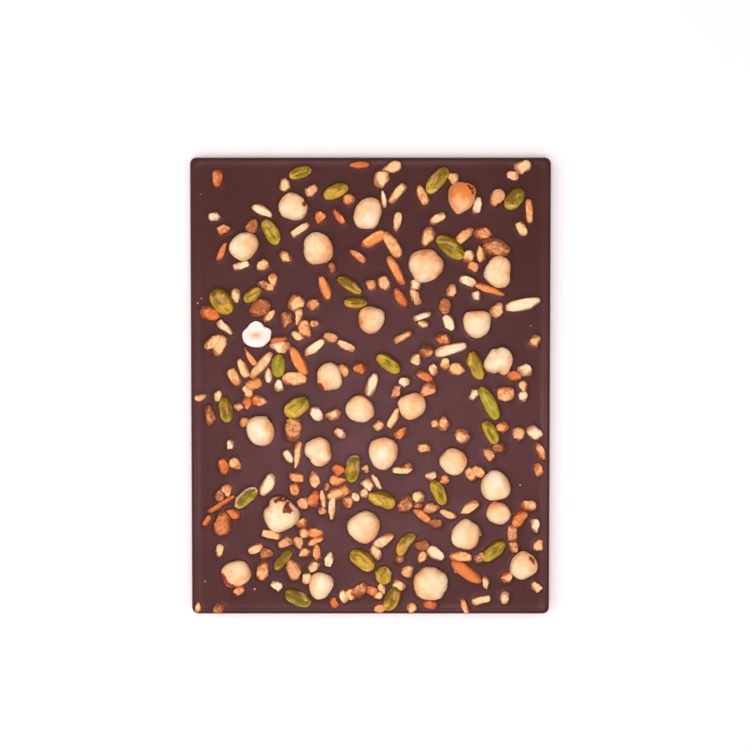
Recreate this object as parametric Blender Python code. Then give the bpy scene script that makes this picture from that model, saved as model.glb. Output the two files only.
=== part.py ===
"""Dark chocolate bark: a rectangular cast slab with hazelnuts, pistachios and chopped nuts in its top."""

import math
import random

import bmesh
import bpy
from mathutils import Matrix, Vector

MM = 0.001

# Slab, in millimetres. The edge runs from the base up, as (inset from the outer plan, height):
# a small radius at the base, a wall with draft, a round shoulder, and the low rim of a cast slab.
SLAB_WIDTH = 162.0
SLAB_LENGTH = 206.0
CORNER_RADIUS = 3.0
CORNER_STEPS = 4
SURFACE_HEIGHT = 8.8
SLAB_EDGE = (
    (1.7, 0.0),
    (0.8, 0.6),
    (0.0, 7.3),
    (0.45, 8.7),
    (1.5, 9.2),
    (3.0, 8.95),
    (5.0, SURFACE_HEIGHT),
)

# Share of each topping's height that lies below the slab's surface, and the gap round a separate nut.
HAZELNUT_SUNK = 0.3
PISTACHIO_SUNK = 0.3
CHOPPED_SUNK = 0.36
NUT_GAP = 0.3

# Height of a hazelnut against the smaller of its other two sizes, and of a pistachio against its width.
HAZELNUT_HEIGHT = 0.93
PISTACHIO_HEIGHT = 0.86

# A pistachio's outline is an ellipse at a bluntness of 2 and squarer above it. Its ends are this much
# slimmer than its middle, and its groove's floor is this high.
PISTACHIO_BLUNT = 2.5
PISTACHIO_SLIM_ENDS = 0.16
PISTACHIO_GROOVE = 0.9

HAZELNUT_SIDES = 8
HAZELNUT_RINGS = 6
PISTACHIO_SIDES = 8
PISTACHIO_RINGS = 5
BIT_SIDES = 5
SLICE_SIDES = 6

# A stick's top against its foot, and a chip's foot and top against its stated half sizes.
STICK_TOP_LONG = 0.9
STICK_TOP_WIDE = 0.72
CHIP_FOOT = 1.14
CHIP_TOP = 0.66
CHOPPED_SEED = 7

# Hazelnuts: x, y, length, width, heading of the tip in degrees, how fine the tip is, how lobed the nut is.
HAZELNUTS = (
    (-1.1, 77.4, 14.1, 12.1, 80, 0.05, 0.01),
    (40.5, 84.6, 14.0, 12.4, -98, 0.4, 0.0),
    (24.7, 54.2, 15.3, 14.3, 20, 0.0, 0.02),
    (56.8, 51.6, 13.9, 11.8, 70, 0.05, 0.02),
    (47.7, 28.5, 12.2, 12.4, -85, 0.15, 0.02),
    (57.4, 11.8, 12.6, 12.4, 60, 0.0, 0.05),
    (-49.2, -19.5, 13.5, 12.6, -80, 0.08, 0.0),
    (-23.3, -29.0, 13.0, 11.7, -70, 0.08, 0.03),
    (5.6, -29.6, 14.4, 13.3, -90, 0.2, 0.02),
    (-40.4, -57.0, 15.6, 15.2, 120, 0.05, 0.03),
    (-3.0, -62.8, 14.2, 13.6, 50, 0.05, 0.03),
    (-60.6, -84.2, 13.0, 11.9, 15, 0.0, 0.01),
    (-22.4, -89.5, 12.0, 10.9, -115, 0.12, 0.02),
    (27.0, -88.2, 15.2, 14.8, 0, 0.0, 0.02),
    (56.1, -44.1, 13.6, 13.0, 97, 0.15, 0.02),
    (57.4, -56.6, 10.8, 9.8, -30, 0.05, 0.02),
    (37.2, -33.4, 12.4, 11.6, 150, 0.05, 0.02),
    (0.3, 30.2, 12.0, 11.8, -100, 0.15, 0.03),
    (-18.3, 4.6, 12.4, 11.4, 95, 0.08, 0.02),
    (18.6, -8.4, 12.2, 11.6, 30, 0.1, 0.02),
    (-56.5, 63.0, 13.4, 12.0, 40, 0.15, 0.02),
    (-34.5, 80.5, 12.8, 12.0, -20, 0.1, 0.02),
    (-23.5, 62.0, 14.4, 13.2, 100, 0.05, 0.03),
    (-4.6, -10.0, 13.0, 12.0, -35, 0.2, 0.02),
    (42.8, -66.2, 13.6, 12.6, 75, 0.1, 0.02),
    (68.6, -80.4, 12.6, 11.8, -140, 0.15, 0.02),
)

# One hazelnut lies cut in half, its flat face up and dished: x, y, length, width, heading.
CUT_HAZELNUT = (-51.0, 23.4, 11.6, 12.8, 88)
CUT_HAZELNUT_DEPTH = 5.6
CUT_FACE_ABOVE = 3.2
CUT_FACE_HOLLOW = 0.7

# Pistachio kernels: x, y, length, width, heading, how far the middle bows to the left of the heading.
PISTACHIOS = (
    (29.8, 92.4, 14.0, 6.8, 52, 0.3),
    (64.2, 84.2, 11.2, 7.3, 50, -0.3),
    (35.7, 62.6, 15.0, 7.3, -38, 0.4),
    (-66.5, 38.4, 13.0, 9.0, -50, 0.5),
    (-52.9, 41.5, 9.4, 5.2, 40, 0.2),
    (-9.4, 45.7, 12.4, 5.0, -33, 0.3),
    (-6.7, 37.9, 10.4, 4.8, 0, -0.2),
    (-41.4, 9.6, 10.6, 5.9, 88, 0.0),
    (-33.2, -9.1, 12.2, 8.0, 35, -0.3),
    (-65.1, -10.1, 11.8, 6.2, -80, 0.3),
    (47.3, 9.6, 13.3, 6.2, -70, -0.5),
    (53.2, -7.2, 16.4, 6.4, -62, 0.5),
    (53.9, -20.4, 11.3, 6.2, -60, 0.2),
    (-7.8, -36.8, 12.4, 6.6, 78, 0.5),
    (-56.1, -49.8, 13.0, 6.0, 42, 0.3),
    (5.1, -50.8, 12.8, 7.3, -20, 0.5),
    (-39.5, -78.0, 11.4, 5.0, 50, 0.2),
    (15.9, -70.9, 12.0, 5.8, 55, 0.7),
    (-3.7, -78.1, 12.8, 7.4, -38, 0.3),
    (5.9, -84.9, 8.6, 7.2, -82, 0.0),
    (-32.8, -95.2, 12.8, 6.7, -25, -0.3),
    (9.6, -95.7, 11.6, 6.5, 65, -0.4),
    (-31.4, 95.9, 10.4, 5.4, 20, 0.2),
    (-44.5, 69.5, 12.6, 6.4, -62, 0.4),
    (-15.5, 87.5, 11.8, 6.2, 24, 0.3),
    (8.0, 10.5, 12.4, 6.4, -36, 0.3),
    (30.6, -47.5, 12.0, 6.0, -64, 0.3),
    (55.5, -74.0, 12.4, 6.2, 40, 0.3),
)

# Chopped nuts by shape and roast: x, y, length, width, heading, how much narrower the far end is.
WHITE_STICKS = (
    (43.5, 47.6, 7.4, 3.8, -22, 0.0),
    (-65.4, 26.7, 8.3, 3.9, -42, 0.35),
    (-17.4, -54.8, 10.0, 3.8, -95, 0.35),
    (-12.2, -94.8, 5.8, 3.7, -62, 0.1),
    (23.2, 31.9, 8.0, 2.9, 18, 0.2),
    (5.8, 84.1, 7.6, 3.1, 100, 0.5),
    (47.8, 81.4, 7.5, 4.1, 75, 0.25),
    (35.1, 28.9, 7.2, 4.8, -75, 0.15),
    (-58.0, 54.5, 7.0, 3.6, 20, 0.2),
    (-11.0, 18.5, 8.2, 3.8, -25, 0.2),
)
ROASTED_STICKS = (
    (11.9, 86.8, 10.3, 3.9, 48, 0.0),
    (12.0, 74.1, 8.3, 3.9, 80, 0.1),
    (30.0, 75.6, 7.5, 3.9, 25, 0.1),
    (71.1, 78.8, 10.4, 3.3, -85, 0.0),
    (-32.9, -30.6, 12.0, 3.6, -97, 0.3),
    (14.4, -37.5, 9.0, 3.1, 0, 0.0),
    (-51.9, -73.1, 7.0, 3.8, 30, 0.0),
    (42.5, -99.4, 6.8, 3.0, -65, 0.3),
    (-33.4, -40.8, 6.4, 4.1, 0, 0.0),
    (-54.3, 13.8, 9.3, 3.0, 122, 0.5),
    (-31.5, 70.5, 9.0, 3.6, 35, 0.2),
    (10.5, -14.0, 9.4, 3.8, 62, 0.2),
    (50.0, -96.5, 8.6, 3.8, 14, 0.2),
)
TOASTED_STICKS = (
    (-5.0, 99.2, 8.6, 2.9, 3, 0.0),
    (23.1, 86.1, 9.2, 4.2, -65, 0.0),
    (-5.8, 58.8, 8.6, 3.1, -38, 0.0),
    (13.3, 40.0, 9.3, 4.1, -55, 0.0),
    (-67.2, -52.8, 14.5, 2.7, 32, 0.35),
    (-73.7, -60.3, 5.4, 2.8, 60, 0.2),
    (-21.6, -50.4, 8.2, 2.9, 92, 0.2),
    (76.7, -29.0, 8.0, 3.4, -68, 0.1),
    (75.6, -37.2, 5.7, 3.7, -75, 0.0),
    (23.2, -57.9, 9.0, 3.5, -38, 0.1),
    (-44.7, -66.5, 8.6, 3.7, -12, 0.0),
    (-41.0, 21.2, 7.6, 2.6, 8, 0.0),
    (24.6, 4.7, 8.0, 3.8, -25, 0.1),
    (-24.4, -74.8, 7.5, 3.8, -82, 0.0),
    (-16.4, -97.6, 5.1, 3.5, -68, 0.0),
    (-9.1, -93.9, 5.2, 3.7, -55, 0.0),
    (-66.5, 60.5, 9.0, 3.2, 62, 0.2),
    (-14.0, 76.0, 8.4, 3.4, -48, 0.1),
    (14.5, 22.5, 8.8, 3.2, 28, 0.1),
    (35.0, -57.5, 8.0, 3.4, -20, 0.1),
)
PALE_SLICES = (
    (68.5, 37.0, 15.4, 5.4, 12, 0.1),
    (-25.2, 17.6, 10.5, 4.7, 38, 0.3),
    (-49.0, 9.7, 14.0, 4.2, 50, 0.0),
    (36.0, 16.9, 14.0, 5.0, 15, 0.2),
    (-37.1, -31.4, 6.0, 3.7, -60, 0.2),
    (6.0, -69.4, 9.6, 5.1, 32, 0.3),
    (-24.3, -12.1, 6.8, 5.4, -55, 0.2),
    (29.4, -75.3, 8.2, 5.2, -38, 0.0),
    (-46.3, -44.3, 10.2, 5.1, 62, 0.0),
    (-48.5, 79.0, 9.6, 4.6, -34, 0.2),
    (0.5, 1.0, 10.2, 4.8, 74, 0.2),
)
TOASTED_SLICES = (
    (1.5, 66.3, 11.5, 4.8, 32, 0.0),
    (9.7, 64.0, 12.6, 5.1, -60, 0.0),
    (67.6, 71.1, 7.0, 4.3, -62, 0.1),
    (11.5, 52.4, 13.8, 4.4, -62, 0.1),
    (53.3, 43.7, 13.6, 3.5, -19, 0.1),
    (-57.2, 8.5, 8.8, 4.6, 115, 0.3),
    (-32.6, 11.7, 13.8, 4.8, -58, 0.0),
    (-34.2, 3.8, 10.8, 5.8, 0, 0.0),
    (43.2, -83.7, 15.8, 5.5, -36, 0.1),
    (40.8, -76.7, 9.6, 4.8, -8, 0.0),
    (-24.9, -69.5, 7.6, 3.1, 25, 0.2),
    (-61.1, 4.4, 8.0, 5.2, -60, 0.3),
    (-20.5, 44.5, 10.6, 4.6, -70, 0.1),
    (44.6, -54.6, 9.0, 4.6, 30, 0.1),
)
WHITE_BITS = (
    (63.4, 94.9, 4.9, 3.8, -20, 0.0),
    (20.1, 46.6, 5.4, 5.0, 80, 0.0),
    (19.9, 40.5, 6.8, 5.1, 120, 0.4),
    (-40.5, 17.9, 8.4, 5.2, 0, 0.0),
    (68.7, -4.2, 4.3, 3.9, 90, 0.1),
    (-1.3, -44.0, 6.3, 5.0, -45, 0.2),
    (2.7, -42.9, 7.0, 2.6, -60, 0.0),
    (-2.9, -47.8, 3.8, 3.5, 90, 0.0),
    (-6.8, -49.5, 3.7, 3.2, -30, 0.0),
    (-42.6, -90.0, 4.8, 4.0, 0, 0.0),
    (-76.4, -4.7, 4.5, 3.6, 0, 0.2),
    (-63.1, -26.0, 4.4, 3.9, 90, 0.4),
    (-41.3, 0.8, 5.0, 4.6, 90, 0.0),
    (-45.8, 5.2, 6.2, 4.1, 100, 0.4),
    (-68.6, -4.2, 4.5, 3.3, 90, 0.0),
    (-59.4, -8.9, 4.9, 4.0, 180, 0.35),
    (28.1, 7.8, 5.2, 4.0, 90, 0.1),
    (46.4, -3.6, 4.8, 3.8, 60, 0.0),
    (47.6, 41.0, 3.8, 3.7, 0, 0.0),
    (-18.7, -77.7, 6.6, 4.5, 90, 0.4),
    (66.7, -21.2, 5.4, 5.0, -90, 0.2),
    (74.2, -62.6, 5.6, 4.6, -90, 0.4),
    (-26.5, 88.0, 5.2, 4.2, 40, 0.1),
    (-70.0, 76.5, 4.8, 4.0, -15, 0.2),
    (15.0, 2.5, 5.4, 4.4, 25, 0.2),
    (-13.5, -20.5, 5.0, 4.2, -50, 0.1),
    (27.0, -40.0, 4.8, 4.0, 10, 0.1),
    (60.5, -95.5, 5.0, 4.2, 70, 0.2),
)
ROASTED_BITS = (
    (9.5, 98.2, 7.9, 5.1, 18, 0.1),
    (5.0, 92.9, 7.0, 5.9, 80, 0.0),
    (37.2, 93.6, 5.9, 4.9, 110, 0.1),
    (67.9, 98.6, 7.2, 4.9, 25, 0.0),
    (42.0, 68.0, 8.8, 4.7, 48, 0.2),
    (44.0, 58.8, 5.9, 5.4, 90, 0.4),
    (45.9, 54.0, 4.8, 4.2, -20, 0.0),
    (36.4, 43.4, 5.1, 4.7, 90, 0.3),
    (6.4, 46.6, 5.9, 5.5, -30, 0.1),
    (0.6, 46.0, 4.8, 4.1, -60, 0.0),
    (56.7, 34.7, 6.5, 5.6, 60, 0.2),
    (-32.4, 31.5, 6.6, 4.0, -100, 0.3),
    (-32.7, 23.1, 5.4, 4.4, 0, 0.0),
    (-45.3, 32.0, 6.6, 3.9, 60, 0.3),
    (-60.4, 41.0, 6.0, 4.3, -80, 0.2),
    (-70.8, 20.2, 8.0, 4.2, 35, 0.1),
    (-52.6, 1.5, 6.9, 5.0, 15, 0.0),
    (-55.2, -1.8, 5.7, 3.9, -60, 0.1),
    (33.3, 10.5, 5.7, 4.8, -90, 0.35),
    (69.8, 7.8, 6.7, 5.3, -10, 0.0),
    (59.2, -18.1, 4.8, 4.2, 20, 0.0),
    (32.9, -16.9, 6.7, 5.5, 100, 0.4),
    (74.1, -20.9, 7.4, 5.0, -40, 0.1),
    (41.2, -22.1, 6.9, 5.5, -50, 0.0),
    (-56.5, -16.1, 4.3, 4.1, 0, 0.0),
    (-64.6, -47.0, 5.5, 4.5, -80, 0.1),
    (-30.5, -52.2, 5.0, 4.6, 90, 0.0),
    (-25.4, -41.9, 6.9, 4.6, -65, 0.1),
    (-14.7, -42.1, 7.1, 4.8, -10, 0.1),
    (-11.8, -46.7, 5.4, 4.3, 25, 0.0),
    (21.4, -49.6, 4.7, 4.6, 0, 0.0),
    (-68.3, -74.1, 6.0, 3.8, -105, 0.35),
    (-25.3, -66.3, 7.0, 4.4, 0, 0.0),
    (-25.7, -80.9, 5.9, 4.1, 40, 0.1),
    (-29.0, -86.6, 5.0, 4.2, 40, 0.0),
    (4.3, -100.2, 5.0, 3.4, 5, 0.0),
    (12.7, -89.5, 5.7, 4.1, -15, 0.0),
    (16.9, -83.4, 5.3, 5.0, 20, 0.0),
    (18.8, -100.0, 4.3, 4.0, -60, 0.1),
    (2.3, -74.6, 7.0, 4.0, -72, 0.0),
    (3.2, -94.5, 3.9, 2.8, 15, 0.0),
    (-78.0, -99.8, 4.2, 2.7, 80, 0.0),
    (23.4, 28.3, 4.2, 2.9, 0, 0.0),
    (-45.3, 44.8, 4.0, 2.9, 0, 0.0),
    (52.2, -88.6, 5.0, 3.0, -80, 0.1),
    (-48.0, 54.5, 6.0, 4.6, 30, 0.1),
    (-38.5, 90.5, 5.2, 4.4, 100, 0.1),
    (-9.5, 84.0, 5.0, 4.4, 0, 0.1),
    (-12.5, 7.5, 5.6, 4.6, -40, 0.1),
    (-17.0, -12.5, 6.2, 4.8, 30, 0.1),
    (3.5, -17.5, 4.8, 4.2, 10, 0.0),
    (20.5, 12.5, 5.6, 4.4, 65, 0.1),
    (24.0, -27.5, 5.4, 4.4, -30, 0.1),
    (48.4, -66.0, 4.6, 3.8, -60, 0.1),
    (75.2, -90.6, 5.2, 4.2, -50, 0.1),
    (-25.6, 37.0, 5.4, 4.4, 20, 0.1),
)
TOASTED_BITS = (
    (-68.2, 93.2, 7.2, 5.3, -90, 0.4),
    (26.3, 67.4, 8.6, 5.5, 72, 0.0),
    (50.4, 69.0, 7.7, 5.0, 12, 0.1),
    (49.3, 59.6, 7.0, 3.8, -83, 0.0),
    (-43.8, 48.2, 5.3, 3.7, 80, 0.0),
    (-71.6, 33.1, 9.2, 5.7, -12, 0.0),
    (-33.2, 37.6, 6.8, 6.3, 60, 0.0),
    (-29.3, 25.8, 8.2, 5.5, -72, 0.0),
    (-67.5, 18.5, 8.6, 5.5, -110, 0.2),
    (-50.4, -6.2, 6.9, 4.7, -12, 0.3),
    (-55.6, -7.3, 5.3, 4.1, 75, 0.0),
    (38.8, 8.1, 6.7, 5.0, 0, 0.0),
    (64.5, 4.9, 6.2, 4.4, 0, 0.0),
    (68.4, 0.3, 4.5, 3.6, 90, 0.0),
    (60.7, -2.9, 7.4, 6.2, 0, 0.0),
    (29.3, -16.5, 3.8, 3.6, 0, 0.0),
    (74.1, 20.8, 5.7, 4.2, 50, 0.0),
    (32.3, 21.3, 6.5, 5.2, 10, 0.0),
    (-65.8, -35.8, 6.7, 4.7, -72, 0.0),
    (-61.0, -34.8, 5.7, 4.6, -60, 0.0),
    (-62.2, -57.2, 6.2, 4.3, 160, 0.2),
    (-33.9, -45.7, 5.7, 5.2, -90, 0.3),
    (-31.1, -61.2, 4.9, 4.6, 0, 0.0),
    (-14.3, -37.1, 5.6, 4.7, 25, 0.0),
    (-15.8, -48.2, 7.0, 5.0, 15, 0.1),
    (-25.5, -50.5, 7.3, 5.3, 85, 0.0),
    (48.2, -38.2, 5.8, 4.6, -20, 0.0),
    (44.9, -39.2, 5.7, 4.3, -60, 0.0),
    (71.4, -53.4, 6.3, 4.7, -20, 0.0),
    (66.8, -58.8, 8.8, 6.1, 50, 0.2),
    (-59.4, -92.2, 5.4, 4.6, -110, 0.0),
    (-48.7, -82.9, 7.9, 5.3, 80, 0.1),
    (-30.0, -65.8, 5.1, 4.0, 30, 0.0),
    (-30.0, -74.9, 5.2, 4.0, 25, 0.0),
    (0.5, -91.6, 5.5, 4.0, -25, 0.0),
    (5.1, -91.0, 4.9, 3.7, -80, 0.0),
    (23.3, -76.6, 4.9, 3.5, 80, 0.0),
    (26.7, -98.2, 5.9, 3.9, -12, 0.0),
    (-65.5, 70.5, 5.6, 4.6, 20, 0.1),
    (-38.0, 58.5, 5.4, 4.2, -50, 0.1),
    (-22.5, 76.0, 5.8, 4.6, 70, 0.1),
    (-5.0, 8.5, 5.6, 4.4, -20, 0.1),
    (13.5, -20.5, 5.8, 4.6, 35, 0.1),
    (33.5, -42.0, 5.0, 4.0, 70, 0.1),
    (62.0, -86.0, 5.6, 4.4, 15, 0.1),
    (76.0, -71.5, 5.2, 4.2, 55, 0.1),
)
SKINNED_BITS = (
    (56.6, 84.7, 7.6, 6.5, -120, 0.25),
    (56.2, 62.7, 11.4, 7.7, -8, 0.0),
    (-49.8, 35.5, 9.2, 7.0, 15, 0.0),
    (-37.7, 30.2, 7.3, 4.8, 95, 0.0),
    (-47.8, 45.9, 5.2, 3.8, -20, 0.0),
    (33.3, 36.2, 6.6, 4.9, 90, 0.0),
    (-72.0, -12.9, 8.7, 5.8, -80, 0.0),
    (-34.7, -18.7, 10.2, 7.0, 82, 0.0),
    (-68.1, -48.8, 5.0, 3.7, 90, 0.0),
    (-66.8, -61.0, 10.8, 8.5, 100, 0.3),
    (-2.1, -36.8, 3.9, 3.5, 90, 0.0),
    (-10.5, -51.7, 5.4, 4.7, 70, 0.0),
    (-21.7, -55.8, 3.5, 3.1, 0, 0.0),
    (-19.8, -45.0, 3.2, 2.8, 60, 0.0),
    (16.9, -35.5, 3.6, 2.8, 0, 0.0),
    (15.6, -52.8, 7.5, 6.0, 70, 0.0),
    (21.5, -53.6, 3.9, 3.1, 0, 0.0),
    (27.3, -54.6, 6.8, 5.7, 20, 0.1),
    (29.3, -61.4, 5.5, 4.8, -40, 0.0),
    (26.3, -1.1, 8.0, 5.7, 48, 0.0),
    (25.2, 15.6, 6.2, 4.6, -10, 0.0),
    (57.6, -27.4, 5.0, 4.2, 10, 0.0),
    (53.3, -30.3, 7.0, 4.1, -50, 0.0),
    (63.8, -65.8, 7.0, 4.9, -80, 0.0),
    (64.5, -72.0, 5.4, 4.4, -70, 0.0),
    (-68.6, -100.2, 5.1, 4.0, -20, 0.0),
    (-47.1, -75.2, 5.4, 4.7, 0, 0.0),
    (-38.4, -69.8, 7.2, 4.5, 18, 0.0),
    (-32.6, -70.2, 5.6, 4.1, 90, 0.0),
    (-34.5, -82.3, 8.9, 6.5, 108, 0.2),
    (-5.4, -91.7, 7.8, 5.8, 40, 0.1),
    (13.2, -77.6, 3.7, 3.3, 0, 0.0),
    (23.0, -71.1, 6.2, 4.7, -20, 0.0),
    (-25.2, 28.3, 3.8, 3.2, 0, 0.0),
    (-17.4, 53.6, 4.2, 3.2, -60, 0.0),
    (-53.0, 72.0, 6.2, 5.0, 60, 0.1),
    (-18.0, 22.0, 6.0, 4.6, -10, 0.1),
    (11.5, -2.5, 6.4, 5.0, 50, 0.1),
    (49.5, -77.0, 5.4, 4.4, 20, 0.1),
)

# Height of a stick and of a slice, and of a bit as a share of its width.
STICK_THICK = 2.9
SLICE_THICK = 2.6
BIT_THICK = 0.75


def clear_scene():
    for obj in list(bpy.data.objects):
        bpy.data.objects.remove(obj, do_unlink=True)


def new_collection(name):
    collection = bpy.data.collections.new(name)
    bpy.context.scene.collection.children.link(collection)
    return collection


def new_material(name, colour, roughness):
    material = bpy.data.materials.new(name)
    material.use_nodes = True
    shader = material.node_tree.nodes["Principled BSDF"]
    shader.inputs["Base Color"].default_value = (*colour, 1.0)
    shader.inputs["Roughness"].default_value = roughness
    shader.inputs["Metallic"].default_value = 0.0
    material.diffuse_color = (*colour, 1.0)
    return material


def new_object(name, shape, collection, material):
    """An object in metres from a bmesh in millimetres, with its faces turned outward."""
    bmesh.ops.recalc_face_normals(shape, faces=shape.faces)
    bmesh.ops.scale(shape, vec=(MM, MM, MM), verts=shape.verts)
    mesh = bpy.data.meshes.new(name)
    shape.to_mesh(mesh)
    shape.free()
    mesh.materials.append(material)
    obj = bpy.data.objects.new(name, mesh)
    collection.objects.link(obj)
    return obj


def place(obj, x, y, height, heading):
    """Puts a topping's centre at x, y and this height, in millimetres, turned to its heading."""
    obj.location = (x * MM, y * MM, height * MM)
    obj.rotation_euler = (0.0, 0.0, math.radians(heading))


def plan_ring(inset):
    """The slab's rounded plan at this inset, as x, y corners counter-clockwise."""
    reach_x = SLAB_WIDTH / 2 - inset - CORNER_RADIUS
    reach_y = SLAB_LENGTH / 2 - inset - CORNER_RADIUS
    ring = []
    for quarter, (side_x, side_y) in enumerate(((1, 1), (-1, 1), (-1, -1), (1, -1))):
        for step in range(CORNER_STEPS + 1):
            angle = math.radians(90.0) * (quarter + step / CORNER_STEPS)
            ring.append((
                side_x * reach_x + CORNER_RADIUS * math.cos(angle),
                side_y * reach_y + CORNER_RADIUS * math.sin(angle),
            ))
    return ring


def slab_shape():
    """The bare slab: one ring of corners for each step of its edge, joined, and closed at both ends."""
    shape = bmesh.new()
    rings = []
    for inset, height in SLAB_EDGE:
        rings.append([shape.verts.new((x, y, height)) for x, y in plan_ring(inset)])
    for low, high in zip(rings, rings[1:]):
        for i in range(len(low)):
            j = (i + 1) % len(low)
            shape.faces.new((low[i], low[j], high[j], high[i]))
    shape.faces.new(rings[0])
    shape.faces.new(rings[-1])
    return shape


def round_shape(sides, rings, moved):
    """A sphere with its poles along X, each corner moved by the given function."""
    shape = bmesh.new()
    bmesh.ops.create_uvsphere(
        shape,
        u_segments=sides,
        v_segments=rings,
        radius=1.0,
        matrix=Matrix.Rotation(math.radians(90.0), 4, "Y"),
    )
    for vert in shape.verts:
        vert.co = moved(vert.co)
    return shape


def hazelnut_shape(length, width, height, tip, lobed):
    """A round nut that narrows to its tip along X, with three shallow lobes."""

    def moved(point):
        toward_tip = 0.5 + 0.5 * point.x
        slim = 1.0 - tip * toward_tip**3
        swell = 1.0 + lobed * math.cos(3.0 * math.atan2(point.y, point.x))
        return Vector((
            point.x * swell * length / 2,
            point.y * swell * slim * width / 2,
            point.z * slim * height / 2,
        ))

    return round_shape(HAZELNUT_SIDES, HAZELNUT_RINGS, moved)


def cut_hazelnut_shape(length, width, depth, hollow):
    """The lower half of a nut, with a flat face on top that dips in the middle."""

    def moved(point):
        if point.z > 1e-6:
            height = -hollow * max(0.0, 1.0 - 2.2 * (point.x**2 + point.y**2))
        else:
            height = point.z * depth
        shoulder = 1.0 + 0.05 * math.cos(3.0 * math.atan2(point.y, point.x))
        return Vector((point.x * shoulder * length / 2, point.y * shoulder * width / 2, height))

    return round_shape(HAZELNUT_SIDES, HAZELNUT_RINGS, moved)


def pistachio_shape(length, width, height, bow):
    """A kernel with two blunt ends along X and a shallow groove along its top."""

    def moved(point):
        around = math.hypot(point.y, point.z)
        blunt = PISTACHIO_BLUNT
        reach = (abs(point.x) ** blunt + around**blunt) ** (-1.0 / blunt)
        slim = reach * (1.0 - PISTACHIO_SLIM_ENDS * abs(point.x) ** 3)
        groove = PISTACHIO_GROOVE if point.z > 0.5 and abs(point.y) < 0.2 else 1.0
        return Vector((
            point.x * reach * length / 2,
            point.y * slim * width / 2 + bow * (0.5 - point.x**2),
            point.z * slim * groove * height / 2,
        ))

    return round_shape(PISTACHIO_SIDES, PISTACHIO_RINGS, moved)


def stick_shape(length, width, height, narrow):
    """A cut stick along X, its top a little smaller than its foot and its far end narrower."""
    shape = bmesh.new()
    bmesh.ops.create_cube(shape, size=1.0)
    for vert in shape.verts:
        slim = 1.0 - narrow * (0.5 + vert.co.x)
        if vert.co.z > 0.0:
            vert.co.x *= STICK_TOP_LONG
            slim *= STICK_TOP_WIDE
        vert.co = (vert.co.x * length, vert.co.y * slim * width, vert.co.z * height)
    return shape


def chip_shape(length, width, height, narrow, sides, rng):
    """An angular chip that stands on its wide side, uneven all round, its far end narrower."""
    shape = bmesh.new()
    bmesh.ops.create_cone(
        shape, cap_ends=True, segments=sides, radius1=CHIP_FOOT, radius2=CHIP_TOP, depth=1.0
    )
    bmesh.ops.rotate(shape, verts=shape.verts, matrix=Matrix.Rotation(math.radians(90.0), 3, "Z"))
    for vert in shape.verts:
        slim = 1.0 - narrow * (0.5 + 0.5 * vert.co.x)
        vert.co.x *= length / 2 * rng.uniform(0.9, 1.06)
        vert.co.y *= width / 2 * slim * rng.uniform(0.9, 1.1)
        vert.co.z *= height * rng.uniform(0.86, 1.04)
    return shape


def add_hazelnuts(nuts, cutters, material):
    for number, (x, y, length, width, heading, tip, lobed) in enumerate(HAZELNUTS, 1):
        height = HAZELNUT_HEIGHT * min(length, width)
        centre = SURFACE_HEIGHT + (0.5 - HAZELNUT_SUNK) * height
        for name, collection, gap in (("hazelnut", nuts, 0.0), ("hazelnut_socket", cutters, NUT_GAP)):
            grown = 2 * gap
            shape = hazelnut_shape(length + grown, width + grown, height + grown, tip, lobed)
            nut = new_object(f"{name}_{number:02d}", shape, collection, material)
            place(nut, x, y, centre, heading)


def add_cut_hazelnut(nuts, cutters, material):
    x, y, length, width, heading = CUT_HAZELNUT
    face = SURFACE_HEIGHT + CUT_FACE_ABOVE
    for name, collection, gap in (("hazelnut_cut", nuts, 0.0), ("hazelnut_cut_socket", cutters, NUT_GAP)):
        grown = 2 * gap
        hollow = 0.0 if gap else CUT_FACE_HOLLOW
        shape = cut_hazelnut_shape(length + grown, width + grown, CUT_HAZELNUT_DEPTH + grown, hollow)
        place(new_object(name, shape, collection, material), x, y, face + gap, heading)


def add_pistachios(nuts, cutters, material):
    for number, (x, y, length, width, heading, bow) in enumerate(PISTACHIOS, 1):
        height = PISTACHIO_HEIGHT * width
        centre = SURFACE_HEIGHT + (0.5 - PISTACHIO_SUNK) * height
        for name, collection, gap in (("pistachio", nuts, 0.0), ("pistachio_socket", cutters, NUT_GAP)):
            grown = 2 * gap
            shape = pistachio_shape(length + grown, width + grown, height + grown, bow)
            kernel = new_object(f"{name}_{number:02d}", shape, collection, material)
            place(kernel, x, y, centre, heading)


def add_chopped(collection, materials):
    """Every stick, slice and bit as its own solid, its foot below the slab's surface."""
    rng = random.Random(CHOPPED_SEED)
    groups = (
        ("stick", WHITE_STICKS, "white"),
        ("stick", ROASTED_STICKS, "roasted"),
        ("stick", TOASTED_STICKS, "toasted"),
        ("slice", PALE_SLICES, "white"),
        ("slice", TOASTED_SLICES, "toasted"),
        ("bit", WHITE_BITS, "white"),
        ("bit", ROASTED_BITS, "roasted"),
        ("bit", TOASTED_BITS, "toasted"),
        ("bit", SKINNED_BITS, "skinned"),
    )
    for kind, rows, tone in groups:
        for x, y, length, width, heading, narrow in rows:
            if kind == "stick":
                height = STICK_THICK
                shape = stick_shape(length, width, height, narrow)
            elif kind == "slice":
                height = SLICE_THICK
                shape = chip_shape(length, width, height, narrow, SLICE_SIDES, rng)
            else:
                height = BIT_THICK * width
                shape = chip_shape(length, width, height, narrow, BIT_SIDES, rng)
            centre = SURFACE_HEIGHT + (0.5 - CHOPPED_SUNK) * height
            place(new_object(kind, shape, collection, materials[tone]), x, y, centre, heading)


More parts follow.
